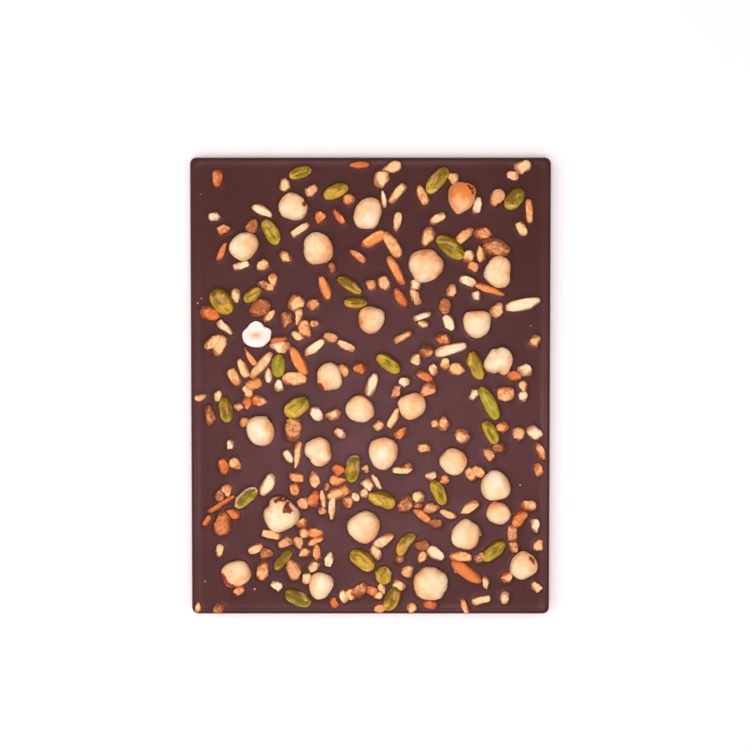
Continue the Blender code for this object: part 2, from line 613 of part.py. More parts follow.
def fuse(obj, collection):
    """Joins the collection's solids into the object for good and removes them."""
    union = obj.modifiers.new("chopped nuts", "BOOLEAN")
    union.operation = "UNION"
    union.operand_type = "COLLECTION"
    union.collection = collection
    union.solver = "EXACT"
    union.material_mode = "TRANSFER"
    graph = bpy.context.evaluated_depsgraph_get()
    joined = bpy.data.meshes.new_from_object(obj.evaluated_get(graph), depsgraph=graph)
    joined.name = obj.name
    obj.modifiers.clear()
    obj.data = joined
    for topping in list(collection.objects):
        bpy.data.objects.remove(topping, do_unlink=True)
    bpy.data.collections.remove(collection)


def cut(obj, cutters):
    """Cuts a socket for each separate nut."""
    for cutter in cutters.objects:
        cutter.display_type = "WIRE"
        cutter.hide_render = True
    cutters.hide_render = True
    sockets = obj.modifiers.new("nut sockets", "BOOLEAN")
    sockets.operation = "DIFFERENCE"
    sockets.operand_type = "COLLECTION"
    sockets.collection = cutters
    sockets.solver = "EXACT"


def main():
    clear_scene()
    bark = new_collection("chocolate_bark")
    cutters = new_collection("cutters")
    chopped = new_collection("chopped_nuts")
    chocolate = new_material("dark_chocolate", (0.085, 0.03, 0.03), 0.32)
    hazelnut = new_material("blanched_hazelnut", (0.80, 0.55, 0.33), 0.55)
    pistachio = new_material("pistachio_kernel", (0.36, 0.29, 0.045), 0.5)
    tones = {
        "white": new_material("white_nut", (0.86, 0.68, 0.46), 0.6),
        "roasted": new_material("roasted_nut", (0.80, 0.48, 0.25), 0.6),
        "toasted": new_material("toasted_nut", (0.72, 0.29, 0.09), 0.6),
        "skinned": new_material("nut_with_skin", (0.48, 0.18, 0.07), 0.65),
    }
    slab = new_object("slab", slab_shape(), bark, chocolate)
    add_chopped(chopped, tones)
    fuse(slab, chopped)
    add_hazelnuts(bark, cutters, hazelnut)
    add_cut_hazelnut(bark, cutters, hazelnut)
    add_pistachios(bark, cutters, pistachio)
    cut(slab, cutters)


main()
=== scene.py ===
import math

import bpy
import numpy as np
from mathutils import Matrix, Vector


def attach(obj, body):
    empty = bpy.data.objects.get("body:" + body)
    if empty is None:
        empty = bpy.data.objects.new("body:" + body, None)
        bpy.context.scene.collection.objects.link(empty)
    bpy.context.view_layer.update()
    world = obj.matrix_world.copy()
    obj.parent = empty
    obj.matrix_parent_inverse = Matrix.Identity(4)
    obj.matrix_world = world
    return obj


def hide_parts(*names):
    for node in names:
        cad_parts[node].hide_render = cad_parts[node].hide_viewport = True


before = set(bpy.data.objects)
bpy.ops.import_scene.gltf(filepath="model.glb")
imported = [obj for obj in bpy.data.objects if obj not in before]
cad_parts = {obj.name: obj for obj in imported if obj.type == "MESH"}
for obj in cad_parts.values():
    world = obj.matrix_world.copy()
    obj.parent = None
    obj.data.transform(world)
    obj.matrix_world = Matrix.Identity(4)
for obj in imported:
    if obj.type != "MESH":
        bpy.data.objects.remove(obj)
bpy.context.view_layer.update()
print("frame loaded with", len(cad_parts), "nodes")

mm = 0.001

# The slab in millimetres. Its edge runs from the base up as (inset from the outer plan, height).
slab = {
    "width": 162.0,
    "length": 206.0,
    "cornerRadius": 3.0,
    "surface": 8.8,
    "edge": ((1.7, 0.0), (1.05, 0.25), (0.8, 0.6), (0.4, 3.9), (0.05, 7.1), (0.1, 7.9),
             (0.45, 8.7), (0.95, 9.12), (1.6, 9.2), (2.3, 9.1), (3.0, 8.95), (4.0, 8.84), (5.0, 8.8)),
    "edgeSteps": 2,
    "gridStep": 0.68,
    "swellHigh": 0.22,     # how far the chocolate climbs up a nut
    "swellWide": 0.60,
    "waveHigh": 0.07,
    "waveWide": 34.0,
    "shoulder": 0.6,       # depth below the surface over which swell and waves fade
    "finish": {
        "dark": (0.050, 0.0122, 0.0084),
        "light": (0.059, 0.0148, 0.0104),
        "bloom": (0.11, 0.050, 0.042),
        "roughness": (0.33, 0.41),
        "bump": (0.16, 0.00012),
    },
}


class Field:
    # A node's output. Arithmetic on it adds the math nodes that work it out.
    def __init__(self, tree, socket):
        self.tree = tree
        self.socket = socket

    def calc(self, operation, *others):
        return calc(self.tree, operation, self, *others)

    def __add__(self, other):
        return self.calc("ADD", other)

    def __sub__(self, other):
        return self.calc("SUBTRACT", other)

    def __rsub__(self, other):
        return calc(self.tree, "SUBTRACT", other, self)

    def __mul__(self, other):
        return self.calc("MULTIPLY", other)

    def __truediv__(self, other):
        return self.calc("DIVIDE", other)

    def __rtruediv__(self, other):
        return calc(self.tree, "DIVIDE", other, self)

    def __pow__(self, other):
        return self.calc("POWER", other)

    def __abs__(self):
        return self.calc("ABSOLUTE")

    def __neg__(self):
        return self * -1.0

    __radd__ = __add__
    __rmul__ = __mul__


def isVector(value):
    return isinstance(value, tuple) or (isinstance(value, Field) and value.socket.type == "VECTOR")


def calc(tree, operation, *values):
    vectors = any(isVector(value) for value in values)
    kind = "ShaderNodeVectorMath" if vectors else "ShaderNodeMath"
    result = "Value" if not vectors or operation in ("DOT_PRODUCT", "LENGTH") else "Vector"
    return addNode(tree, kind, dict(enumerate(values)), result, operation=operation)


def feed(tree, socket, value):
    # Links a field to a socket or sets it. A number fills a vector, and a colour gets its fourth number.
    if isinstance(value, Field):
        tree.links.new(value.socket, socket)
    elif socket.type == "VECTOR" and not isinstance(value, tuple):
        socket.default_value = (value, value, value)
    elif socket.type == "RGBA":
        socket.default_value = (*value, 1.0)
    else:
        socket.default_value = value


def addNode(tree, kind, inputs=None, output=0, **settings):
    node = tree.nodes.new(kind)
    for name, value in settings.items():
        setattr(node, name, value)
    for name, value in (inputs or {}).items():
        feed(tree, node.inputs[name], value)
    return Field(tree, node.outputs[output])


def join(*values):
    tree = next(value.tree for value in values if isinstance(value, Field))
    return addNode(tree, "ShaderNodeCombineXYZ", dict(zip("XYZ", values)))


def split(vector):
    node = addNode(vector.tree, "ShaderNodeSeparateXYZ", {"Vector": vector}).socket.node
    return [Field(vector.tree, output) for output in node.outputs]


def spread(value, fromLow, fromHigh, toLow=0.0, toHigh=1.0):
    inputs = {"Value": value, "From Min": fromLow, "From Max": fromHigh, "To Min": toLow, "To Max": toHigh}
    return addNode(value.tree, "ShaderNodeMapRange", inputs, "Result", interpolation_type="SMOOTHSTEP")


def noise(place, scale, detail=2.0, roughness=0.5):
    inputs = {"Vector": place, "Scale": scale, "Detail": detail, "Roughness": roughness}
    return addNode(place.tree, "ShaderNodeTexNoise", inputs)


def mix(share, first, second):
    return addNode(share.tree, "ShaderNodeMix", {0: share, 6: first, 7: second}, 2, data_type="RGBA")


def newMaterial(name):
    material = bpy.data.materials.new(name)
    material.use_nodes = True
    tree = material.node_tree
    return material, tree, addNode(tree, "ShaderNodeTexCoord", output="Object")


def readAttribute(tree, name, output="Fac"):
    return addNode(tree, "ShaderNodeAttribute", output=output, attribute_name=name)


def readAround(tree, alongScale, aroundScale):
    # A place on the nut's own skin: along it and round it, another one for each nut.
    x, y, z = split(readAttribute(tree, "ball", "Vector"))
    return x, join(x * alongScale, z.calc("ARCTAN2", y) * aroundScale, readAttribute(tree, "nut"))


def nearStrokes(place, mark):
    # 1 inside a mark's strokes and 0 outside. Their edges are frayed by a noise and blurred.
    flat = place * (1 / mm, 1 / mm, 0.0)
    nearest = None
    for startX, startY, endX, endY, halfWidth in mark["strokes"]:
        run = (endX - startX, endY - startY, 0.0)
        away = flat - (startX, startY, 0.0)
        share = away.calc("DOT_PRODUCT", run) / (run[0] ** 2 + run[1] ** 2)
        share = addNode(place.tree, "ShaderNodeClamp", {"Value": share})
        along = join(share, share, 0.0) * run    # joined here, or Cycles runs out of room for the nodes
        gap = (away - along).calc("LENGTH") - halfWidth
        nearest = gap if nearest is None else nearest.calc("MINIMUM", gap)
    fray = (noise(place, mark["noise"], 4.0, 0.7) - 0.5) * (3.0 * mark["frayed"])
    return spread(nearest - fray, -mark["blur"], mark["blur"], 1.0, 0.0)


def finishSurface(tree, colour, look, height):
    # Joins the colour, the gloss and the grain to the material's shader.
    shader = tree.nodes["Principled BSDF"]
    strength, distance = look["bump"]
    bump = addNode(tree, "ShaderNodeBump", {"Height": height, "Strength": strength, "Distance": distance})
    for name, value in {**look["gloss"], "Base Color": colour, "Normal": bump}.items():
        feed(tree, shader.inputs[name], value)


def newObject(name, data):
    made = bpy.data.objects.new(name, data)
    bpy.context.scene.collection.objects.link(made)
    return made


socketKinds = {
    int: "Int",
    float: "Float",
    bpy.types.Material: "Material",
    bpy.types.Collection: "Collection",
}


def newTree(name, inputs):
    # A tree with an input for the points or mesh, and one for each named value, of the value's kind.
    tree = bpy.data.node_groups.new(name, "GeometryNodeTree")
    tree.interface.new_socket("Source", in_out="INPUT", socket_type="NodeSocketGeometry")
    for label, value in inputs.items():
        kind = "NodeSocket" + socketKinds[type(value)]
        tree.interface.new_socket(label, in_out="INPUT", socket_type=kind)
    tree.interface.new_socket("Geometry", in_out="OUTPUT", socket_type="NodeSocketGeometry")
    given = {socket.name: Field(tree, socket) for socket in tree.nodes.new("NodeGroupInput").outputs}
    return tree, given


def endTree(geometry, given):
    tree = geometry.tree
    smooth = addNode(tree, "GeometryNodeSetShadeSmooth", {"Geometry": geometry})
    finished = addNode(tree, "GeometryNodeSetMaterial", {"Geometry": smooth, "Material": given["Finish"]})
    tree.links.new(finished.socket, tree.nodes.new("NodeGroupOutput").inputs[0])
    return tree


def runTree(piece, tree, inputs):
    # Runs the tree on a piece and keeps the result as the piece's plain mesh.
    modifier = piece.modifiers.new("grow", "NODES")
    modifier.node_group = tree
    for item in tree.interface.items_tree:
        if item.in_out == "INPUT" and item.name in inputs:
            modifier[item.identifier] = inputs[item.name]
    graph = bpy.context.evaluated_depsgraph_get()
    mesh = bpy.data.meshes.new_from_object(piece.evaluated_get(graph), depsgraph=graph)
    mesh.name = piece.name
    piece.modifiers.remove(modifier)
    piece.data = mesh
    return piece


def readField(tree, name, kind="FLOAT"):
    return addNode(tree, "GeometryNodeInputNamedAttribute", {"Name": name}, "Attribute", data_type=kind)


def readVector(tree, name):
    return readField(tree, name, "FLOAT_VECTOR")


def store(geometry, name, value):
    inputs = {"Geometry": geometry, "Name": name, "Value": value}
    kind = "FLOAT_VECTOR" if isVector(value) else "FLOAT"
    return addNode(geometry.tree, "GeometryNodeStoreNamedAttribute", inputs, data_type=kind, domain="POINT")


def randomFloat(nut, seed, low=0.0, high=1.0):
    inputs = {2: low, 3: high, 7: nut, 8: seed}
    return addNode(nut.tree, "FunctionNodeRandomValue", inputs, 1, data_type="FLOAT")


def randomDirection(nut, seed):
    inputs = {0: -1.0, 1: 1.0, 7: nut, 8: seed}
    random = addNode(nut.tree, "FunctionNodeRandomValue", inputs, data_type="FLOAT_VECTOR")
    return random.calc("NORMALIZE")


def nutTree(name, inputs, makeBall, shapePoint):
    # Every point gets its own copy of a ball, which shapePoint turns into a nut.
    tree, given = newTree(name, inputs)
    position = addNode(tree, "GeometryNodeInputPosition")
    ball = store(makeBall(tree, given), "ball", position)
    points = store(given["Source"], "centre", position)
    copies = addNode(tree, "GeometryNodeInstanceOnPoints", {"Points": points, "Instance": ball})
    nuts = addNode(tree, "GeometryNodeRealizeInstances", {"Geometry": copies})
    point, marks = shapePoint(tree, given)
    for label, value in marks.items():
        nuts = store(nuts, label, value)
    rotation = {"Vector": point, "Rotation": readVector(tree, "turn")}
    turned = addNode(tree, "ShaderNodeVectorRotate", rotation, rotation_type="EULER_XYZ")
    placed = {"Geometry": nuts, "Position": turned + readVector(tree, "centre")}
    nuts = addNode(tree, "GeometryNodeSetPosition", placed)
    # How far each point faces up and northward; the finishes paint shade from these.
    facing = split(addNode(tree, "GeometryNodeInputNormal"))
    nuts = store(store(nuts, "up", facing[2]), "north", facing[1])
    return endTree(nuts, given)


def ballAlongX(tree, given):
    inputs = {"Segments": given["Sides"], "Rings": given["Rings"], "Radius": 1.0}
    sphere = addNode(tree, "GeometryNodeMeshUVSphere", inputs, "Mesh")
    return addNode(tree, "GeometryNodeTransform", {"Geometry": sphere, "Rotation": (0.0, math.pi / 2, 0.0)})


def evenBall(tree, given):
    inputs = {"Radius": 1.0, "Subdivisions": given["Fineness"]}
    return addNode(tree, "GeometryNodeMeshIcoSphere", inputs, "Mesh")


def offsetByNut(ball, nut, step):
    # Gives each nut its own part of a noise.
    return ball + join(nut * step, nut, 0.0)


def bluntReach(ball, blunt):
    # Turns a ball into a fuller shape. At a bluntness of 2 it stays a ball.
    x, y, z = (abs(part) ** blunt for part in split(ball))
    return (x + y + z) ** (-1.0 / blunt)


# The dents and bulges of a nut's outline, and the range of those that are made at random.
dentLabels = ("dentA", "dentB", "dentC", "dentD")
randomDents = {"change": (-0.08, 0.04), "halfWidth": (10, 22)}


def dentFactor(x, y):
    # The radius of a nut's outline, changed by its dents and bulges, which fade toward its top.
    plan = (x * x + y * y).calc("SQRT")
    atLeast = plan.calc("MAXIMUM", 0.001)
    direction = join(x / atLeast, y / atLeast, 0.0)
    total = 1.0
    for label in dentLabels:
        angle, change, tightness = split(readVector(x.tree, label))
        toward = join(angle.calc("COSINE"), angle.calc("SINE"), 0.0)
        close = (direction.calc("DOT_PRODUCT", toward) - 1.0) * tightness
        total = total + close.calc("EXPONENT") * change * spread(plan, 0.1, 0.8)
    return total


def dentValues(dents, number, heading, length, width):
    # Directions in the slab's plan become directions on the ball that the nut is made from.
    values = {}
    rng = np.random.default_rng(number)
    for index, label in enumerate(dentLabels):
        if number in dents:
            direction, change, halfWidth = dents[number][index]
        else:
            direction = rng.uniform(0, 360)
            change = rng.uniform(*randomDents["change"])
            halfWidth = rng.uniform(*randomDents["halfWidth"])
        local = math.radians(direction - heading)
        angle = math.atan2(math.sin(local) / width, math.cos(local) / length)
        values[label] = (angle, float(change), 1.0 / math.radians(halfWidth) ** 2)
    return values


def nutRow(number, x, y, sides, turn, sunk, **marks):
    # What a nut's point says of it: where it lies, half its length, width and height, how it is turned.
    return {
        "centre": (x * mm, y * mm, (slab["surface"] + (0.5 - sunk) * sides[2]) * mm),
        "half": tuple(side / 2 * mm for side in sides),
        "turn": turn,
        "nut": float(number),
        **marks,
    }


def growNuts(name, rows, tree, inputs):
    # One loose point for each nut, which the tree turns into it. A row holds its centre and its attributes.
    mesh = bpy.data.meshes.new(name)
    mesh.from_pydata([row["centre"] for row in rows], [], [])
    for label, first in rows[0].items():
        if label == "centre":
            continue
        kind, key = ("FLOAT_VECTOR", "vector") if isinstance(first, tuple) else ("FLOAT", "value")
        values = np.array([row[label] for row in rows], np.float32).ravel()
        mesh.attributes.new(label, kind, "POINT").data.foreach_set(key, values)
    return runTree(newObject(name, mesh), tree, inputs)


print("node helpers ready")

# Whole hazelnuts: x, y, length, width, heading, tip, lobed, how toasted, heading of the side that is painted
# tanner, partly toasting and partly painted shade.
hazelnutRows = (
    (-1.1, 77.4, 14.1, 12.1, 80, 0.05, 0.01, 0.45, 105), (40.5, 84.6, 14.0, 12.4, -103, 0.4, 0.0, 1.35, 80),
    (24.7, 54.2, 15.3, 14.3, 20, 0.0, 0.02, 0.66, 60), (56.8, 51.6, 13.9, 11.8, 70, 0.05, 0.02, 0.38, 20),
    (47.7, 28.5, 12.2, 12.4, -85, 0.15, 0.02, 0.20, 90), (57.4, 11.8, 12.6, 12.4, 60, 0.0, 0.05, 0.20, -60),
    (-49.2, -19.5, 13.5, 12.6, -80, 0.08, 0.0, 0.40, 0),
    (-23.3, -29.0, 13.0, 11.7, -70, 0.08, 0.03, 0.28, 0),
    (5.6, -29.6, 14.4, 13.3, -90, 0.2, 0.02, 0.28, 60),
    (-40.4, -57.0, 15.6, 15.2, 120, 0.05, 0.03, 0.18, 140),
    (-3.0, -62.8, 14.2, 13.6, 50, 0.05, 0.03, 0.35, -40),
    (-60.6, -84.2, 13.0, 11.9, 15, 0.0, 0.01, 0.58, 250),
    (-22.4, -89.5, 12.0, 10.9, -115, 0.12, 0.02, 0.15, 180),
    (27.0, -88.2, 15.2, 14.8, 0, 0.0, 0.02, 0.30, 200), (56.1, -44.1, 13.6, 13.0, 97, 0.15, 0.02, 0.10, 0),
    (57.4, -56.6, 10.8, 9.8, -30, 0.05, 0.02, 0.60, 100),
    (37.2, -33.4, 12.4, 11.6, 150, 0.05, 0.02, 0.45, 40),
    (0.3, 30.2, 12.0, 11.8, -100, 0.15, 0.03, 0.65, 180),
    (-18.3, 4.6, 12.4, 11.4, 95, 0.08, 0.02, 0.30, 220), (18.6, -8.4, 12.2, 11.6, 30, 0.1, 0.02, 0.60, 30),
    (-56.5, 63.0, 13.4, 12.0, 40, 0.15, 0.02, 0.35, 10),
    (-34.5, 80.5, 12.8, 12.0, -20, 0.1, 0.02, 0.25, 80),
    (-23.5, 62.0, 14.4, 13.2, 100, 0.05, 0.03, 0.50, -30),
    (-4.6, -10.0, 13.0, 12.0, -35, 0.2, 0.02, 0.35, 45), (42.8, -66.2, 13.6, 12.6, 75, 0.1, 0.02, 0.30, 0),
    (68.6, -80.4, 12.6, 11.8, -140, 0.15, 0.02, 0.45, 60),
)

# Dents and bulges in the hazelnuts' outlines: direction in the slab's plan, change of radius, half width,
# both angles in degrees. A nut that isn't named here gets a few at random.
hazelnutDents = {
    1: ((120, -0.05, 18), (52, 0.04, 18), (215, 0.05, 22), (320, -0.06, 24)),
    2: ((35, 0.05, 18), (145, 0.05, 18), (90, -0.03, 16), (200, -0.03, 16)),
    3: ((40, -0.06, 9), (325, -0.06, 11), (214, -0.08, 11), (130, 0.03, 20)),
    4: ((0, -0.05, 18), (140, -0.02, 18), (222, -0.13, 20), (310, 0.14, 18)),
    5: ((90, -0.05, 12), (42, 0.05, 13), (138, 0.05, 13), (228, 0.04, 22)),
    6: ((98, -0.17, 10), (214, 0.12, 16), (268, -0.20, 9), (160, -0.11, 18)),
    7: ((38, -0.05, 18), (150, 0.02, 20), (225, -0.03, 20), (300, 0.02, 15)),
    8: ((218, -0.13, 9), (5, -0.06, 10), (128, -0.06, 9), (300, -0.05, 9)),
    10: ((146, -0.20, 10), (10, 0.05, 11), (60, -0.05, 15), (230, 0.02, 20)),
    11: ((150, 0.02, 14), (125, -0.04, 12), (315, 0.05, 15), (213, -0.02, 20)),
    12: ((318, -0.04, 16), (45, 0.02, 20), (130, -0.03, 18), (0, 0.03, 14)),
    13: ((262, 0.04, 14), (215, -0.04, 18), (320, -0.05, 20), (70, 0.02, 20)),
    14: ((306, 0.06, 9), (325, -0.07, 9), (52, -0.07, 10), (130, -0.07, 12)),
    15: ((130, -0.07, 17), (50, -0.07, 17), (172, 0.04, 12), (330, 0.05, 14)),
    16: ((90, -0.08, 14), (185, -0.05, 16), (0, 0.03, 14), (270, 0.02, 20)),
}

# Marks on the hazelnuts, as strokes seen from above: from x, y to x, y, half width. Before them stand how
# much a mark covers, the scale of its noise, how frayed and how blurred it is, in millimetres.
hazelnutMarks = {
    # Painted highlights: pale strokes where the light glints on the nuts.
    "paintedHighlight": {
        "share": 0.75, "noise": 400.0, "frayed": 1.2, "blur": 2.0,
        "strokes": (
            (-49.6, -18.0, -48.4, -20.4, 2.0), (-20.8, -31.6, -22.4, -30.0, 1.0),
            (-43.6, -56.0, -42.6, -59.0, 1.6), (55.4, -40.0, 56.6, -42.0, 1.8),
            (-22.2, -86.4, -22.6, -89.4, 0.9), (-1.4, 75.6, -0.6, 73.4, 1.6), (56.6, 10.0, 58.4, 11.2, 1.2),
            (4.4, -30.0, 6.4, -28.4, 1.2),
        ),
    },
    "skin": {
        "share": 0.95, "noise": 800.0, "frayed": 0.9, "blur": 0.2,
        "strokes": (
            (43.4, 89.4, 44.8, 88.2, 0.7), (45.2, 87.0, 45.4, 86.2, 0.4), (-42.4, -50.6, -40.0, -49.8, 0.8),
            (-39.4, -50.4, -37.8, -50.4, 0.6), (-37.2, -51.8, -37.2, -52.4, 0.9),
            (-37.4, -53.2, -37.0, -54.2, 1.4), (-38.2, -54.8, -35.8, -55.0, 1.0),
            (-66.2, -85.0, -65.3, -86.8, 1.6), (-64.9, -87.4, -61.4, -89.4, 1.0),
            (-61.2, -89.7, -59.4, -90.0, 0.6), (-45.4, -13.8, -44.3, -15.6, 0.5),
            (-22.6, 1.2, -21.4, -0.2, 0.9), (-28.8, 83.4, -29.4, 81.2, 0.8),
            (71.6, -76.4, 73.0, -78.2, 0.8),
        ),
    },
}

hazelnut = {
    "height": 0.93,        # against the smaller of length and width
    "sunk": 0.3,
    "sizes": {
        "Blunt": 2.4,      # 2 is an ellipse, more is squarer at the ends
        "Rings": 44,
        "Sides": 60,
        "Ribs": 9.0,
        "Rib Depth": 0.008,
        "Lumps": 0.17,
        "Tip Long": 0.10,  # length of the point on a nut with a full tip
    },
    "ribScale": 1.3,
    "ribWander": 7.0,
    "lumpScale": 1.5,
    "tipFrom": 0.85,       # where the point starts, with the nut's end at 1
    # How strongly one side is tanner: partly toasting, partly painted shade.
    "toastAndShadeSideShare": 0.55,
    "finish": {
        # pale is the colour of the painted highlights.
        "pale": (0.94, 0.79, 0.66),
        "cream": (0.90, 0.70, 0.43),
        "tan": (0.90, 0.50, 0.23),
        "brown": (0.72, 0.22, 0.05),
        # Painted shade: the orange the steep sides take in shade, with some browning.
        "side": (0.94, 0.54, 0.25),
        # Painted contact shade, dark low on the nut where it meets the chocolate, with some toasting.
        "foot": (0.42, 0.13, 0.036),
        "skin": (0.38, 0.024, 0.014),
        "skinDark": (0.17, 0.006, 0.003),
        "tanRange": (1.40, 2.40),                  # how toasted a spot is, counting its painted shade, where the tan starts and is full
        "brownRange": (2.20, 3.10),
        "steepShadeRange": (0.32, 0.84, 0.5, 0.0),       # painted shade, from steep to level, and how much it covers there
        "footRange": (0.20, 0.50, 0.95, 0.0),
        "patchScale": 190.0,
        "skinScale": 500.0,
        "grainScale": 1500.0,
        "bump": (0.30, 0.00018),
        "gloss": {"Roughness": 0.52, "Specular IOR Level": 0.2, "Subsurface Weight": 0.12,
                  "Subsurface Radius": (1.0, 0.5, 0.25), "Subsurface Scale": 0.0012},
    },
}


def makeHazelnutFinish():
    material, tree, place = newMaterial("blanchedHazelnut")
    look = hazelnut["finish"]
    streaks = noise(readAround(tree, 1.2, 2.2)[1], 2.4, 2.0, 0.5)
    patches = noise(place, look["patchScale"], 2.0, 0.5)
    # Painted highlight: pale strokes stand in for glints, and the tan is weaker under them.
    paintedHighlight = nearStrokes(place, hazelnutMarks["paintedHighlight"])
    tanned = readAttribute(tree, "tanned") + streaks * 1.2 + patches * 1.8 - paintedHighlight * 0.5
    colour = mix(paintedHighlight * hazelnutMarks["paintedHighlight"]["share"], look["cream"], look["pale"])
    colour = mix(spread(tanned, *look["tanRange"]), colour, look["tan"])
    colour = mix(spread(tanned, *look["brownRange"]), colour, look["brown"])
    # Painted shade: steep sides turn orange and the lowest, steepest part dark brown, as shade and contact
    # shade, with some browning.
    steep = readAttribute(tree, "up") + patches * 0.4
    colour = mix(spread(steep, *look["steepShadeRange"]), colour, look["side"])
    colour = mix(spread(steep, *look["footRange"]), colour, look["foot"])
    skin = nearStrokes(place, hazelnutMarks["skin"]) * hazelnutMarks["skin"]["share"]
    papery = spread(noise(place, look["skinScale"], 3.0, 0.6), 0.44, 0.66)
    colour = mix(skin, colour, mix(papery, look["skinDark"], look["skin"]))
    finishSurface(tree, colour, look, noise(place, look["grainScale"], 4.0, 0.6) + streaks * 2.0)
    return material


def hazelnutPoint(tree, given):
    ball = readVector(tree, "ball")
    nut = readField(tree, "nut")
    tip = readField(tree, "tip")
    x, y, z = split(ball)
    slim = 1.0 - tip * (x * 0.5 + 0.5) ** 3.0
    swell = (y.calc("ARCTAN2", x) * 3.0).calc("COSINE") * readField(tree, "lobed") + 1.0
    # Ribs run from the base to the tip and fade at both.
    wander = noise(offsetByNut(ball, nut, 3.7), hazelnut["ribScale"]) * hazelnut["ribWander"] + nut
    ribs = (z.calc("ARCTAN2", y) * given["Ribs"] + wander).calc("COSINE") * (1.0 - x * x)
    lumps = noise(offsetByNut(ball, nut, 5.3), hazelnut["lumpScale"], 3.0, 0.5) - 0.5
    grown = lumps * given["Lumps"] + ribs * given["Rib Depth"] + 1.0
    grown = grown * bluntReach(ball, given["Blunt"]) * dentFactor(x, y)
    # The tip of a pointed nut is drawn out a little.
    tipped = x + spread(x, hazelnut["tipFrom"], 1.0) * tip * given["Tip Long"]
    point = join(tipped * swell, y * swell * slim, z * slim) * readVector(tree, "half") * grown
    # One side is painted tanner: partly toasting, partly painted shade where shadows fell.
    side = ball.calc("DOT_PRODUCT", readVector(tree, "tanSide"))
    return point, {"tanned": readField(tree, "toast") + side * hazelnut["toastAndShadeSideShare"]}


def hazelnutPoints():
    rows = []
    for number, (x, y, length, width, heading, tip, lobed, toast, tanSide) in enumerate(hazelnutRows):
        sides = (length, width, hazelnut["height"] * min(length, width))
        tan = math.radians(tanSide - heading)
        rows.append(nutRow(
            number, x, y, sides, (0.0, 0.0, math.radians(heading)), hazelnut["sunk"],
            tip=tip, lobed=lobed, toast=toast, tanSide=(math.cos(tan), math.sin(tan), 0.0),
            **dentValues(hazelnutDents, number + 1, heading, length, width),
        ))
    return rows


def makeHazelnuts():
    inputs = {**hazelnut["sizes"], "Finish": makeHazelnutFinish()}
    tree = nutTree("hazelnuts", inputs, ballAlongX, hazelnutPoint)
    return growNuts("wholeHazelnuts", hazelnutPoints(), tree, inputs)


hazelnuts = makeHazelnuts()
print("whole hazelnuts grown")

# The hazelnut that lies cut in half, its flat face up, in millimetres. Its bulges are as the dents above.
cutHazelnut = {
    "place": (-51.0, 23.4, 11.6, 12.8, 88),    # x, y, length, width, heading
    "depth": 5.6,
    "faceAbove": 3.4,
    "bulges": ((92, 0.08, 15), (18, 0.08, 12), (50, -0.16, 14), (140, -0.13, 20),
               (212, 0.04, 15), (316, -0.04, 18), (268, -0.05, 22)),
    "rimDrop": 0.55,
    "rimWide": 0.25,
    "hollow": 0.8,
    "hollowSize": (0.16, 0.30),
    "waves": 0.10,
    "rings": 30,
    "sides": 72,
    "finish": {
        "flesh": (0.84, 0.79, 0.74),
        "halo": (0.84, 0.66, 0.50),
        "hollow": (0.74, 0.40, 0.22),
        "outside": (0.86, 0.60, 0.36),
        "haloRange": (0.17, 0.55),
        "hollowRange": (0.60, 1.0),
        "bump": (0.35, 0.0002),
        "gloss": {"Roughness": 0.5, "Subsurface Weight": 0.12,
                  "Subsurface Radius": (1.0, 0.6, 0.35), "Subsurface Scale": 0.0012},
    },
}


def makeCutFinish():
    material, tree, place = newMaterial("cutHazelnutFlesh")
    look = cutHazelnut["finish"]
    colour = mix(spread(readAttribute(tree, "flesh"), 0.3, 0.9), look["outside"], look["flesh"])
    hollow = readAttribute(tree, "hollow") + noise(place, 350.0, 4.0, 0.6) * 0.35
    colour = mix(spread(hollow, *look["haloRange"]), colour, look["halo"])
    colour = mix(spread(hollow, *look["hollowRange"]), colour, look["hollow"])
    finishSurface(tree, colour, look, noise(place, 1300.0, 4.0, 0.6))
    return material


def cutOutline(angle, heading):
    outline = 1.0
    for direction, change, halfWidth in cutHazelnut["bulges"]:
        gap = math.remainder(math.degrees(angle) + heading - direction, 360.0) / halfWidth
        outline += change * math.exp(-gap * gap)
    return outline


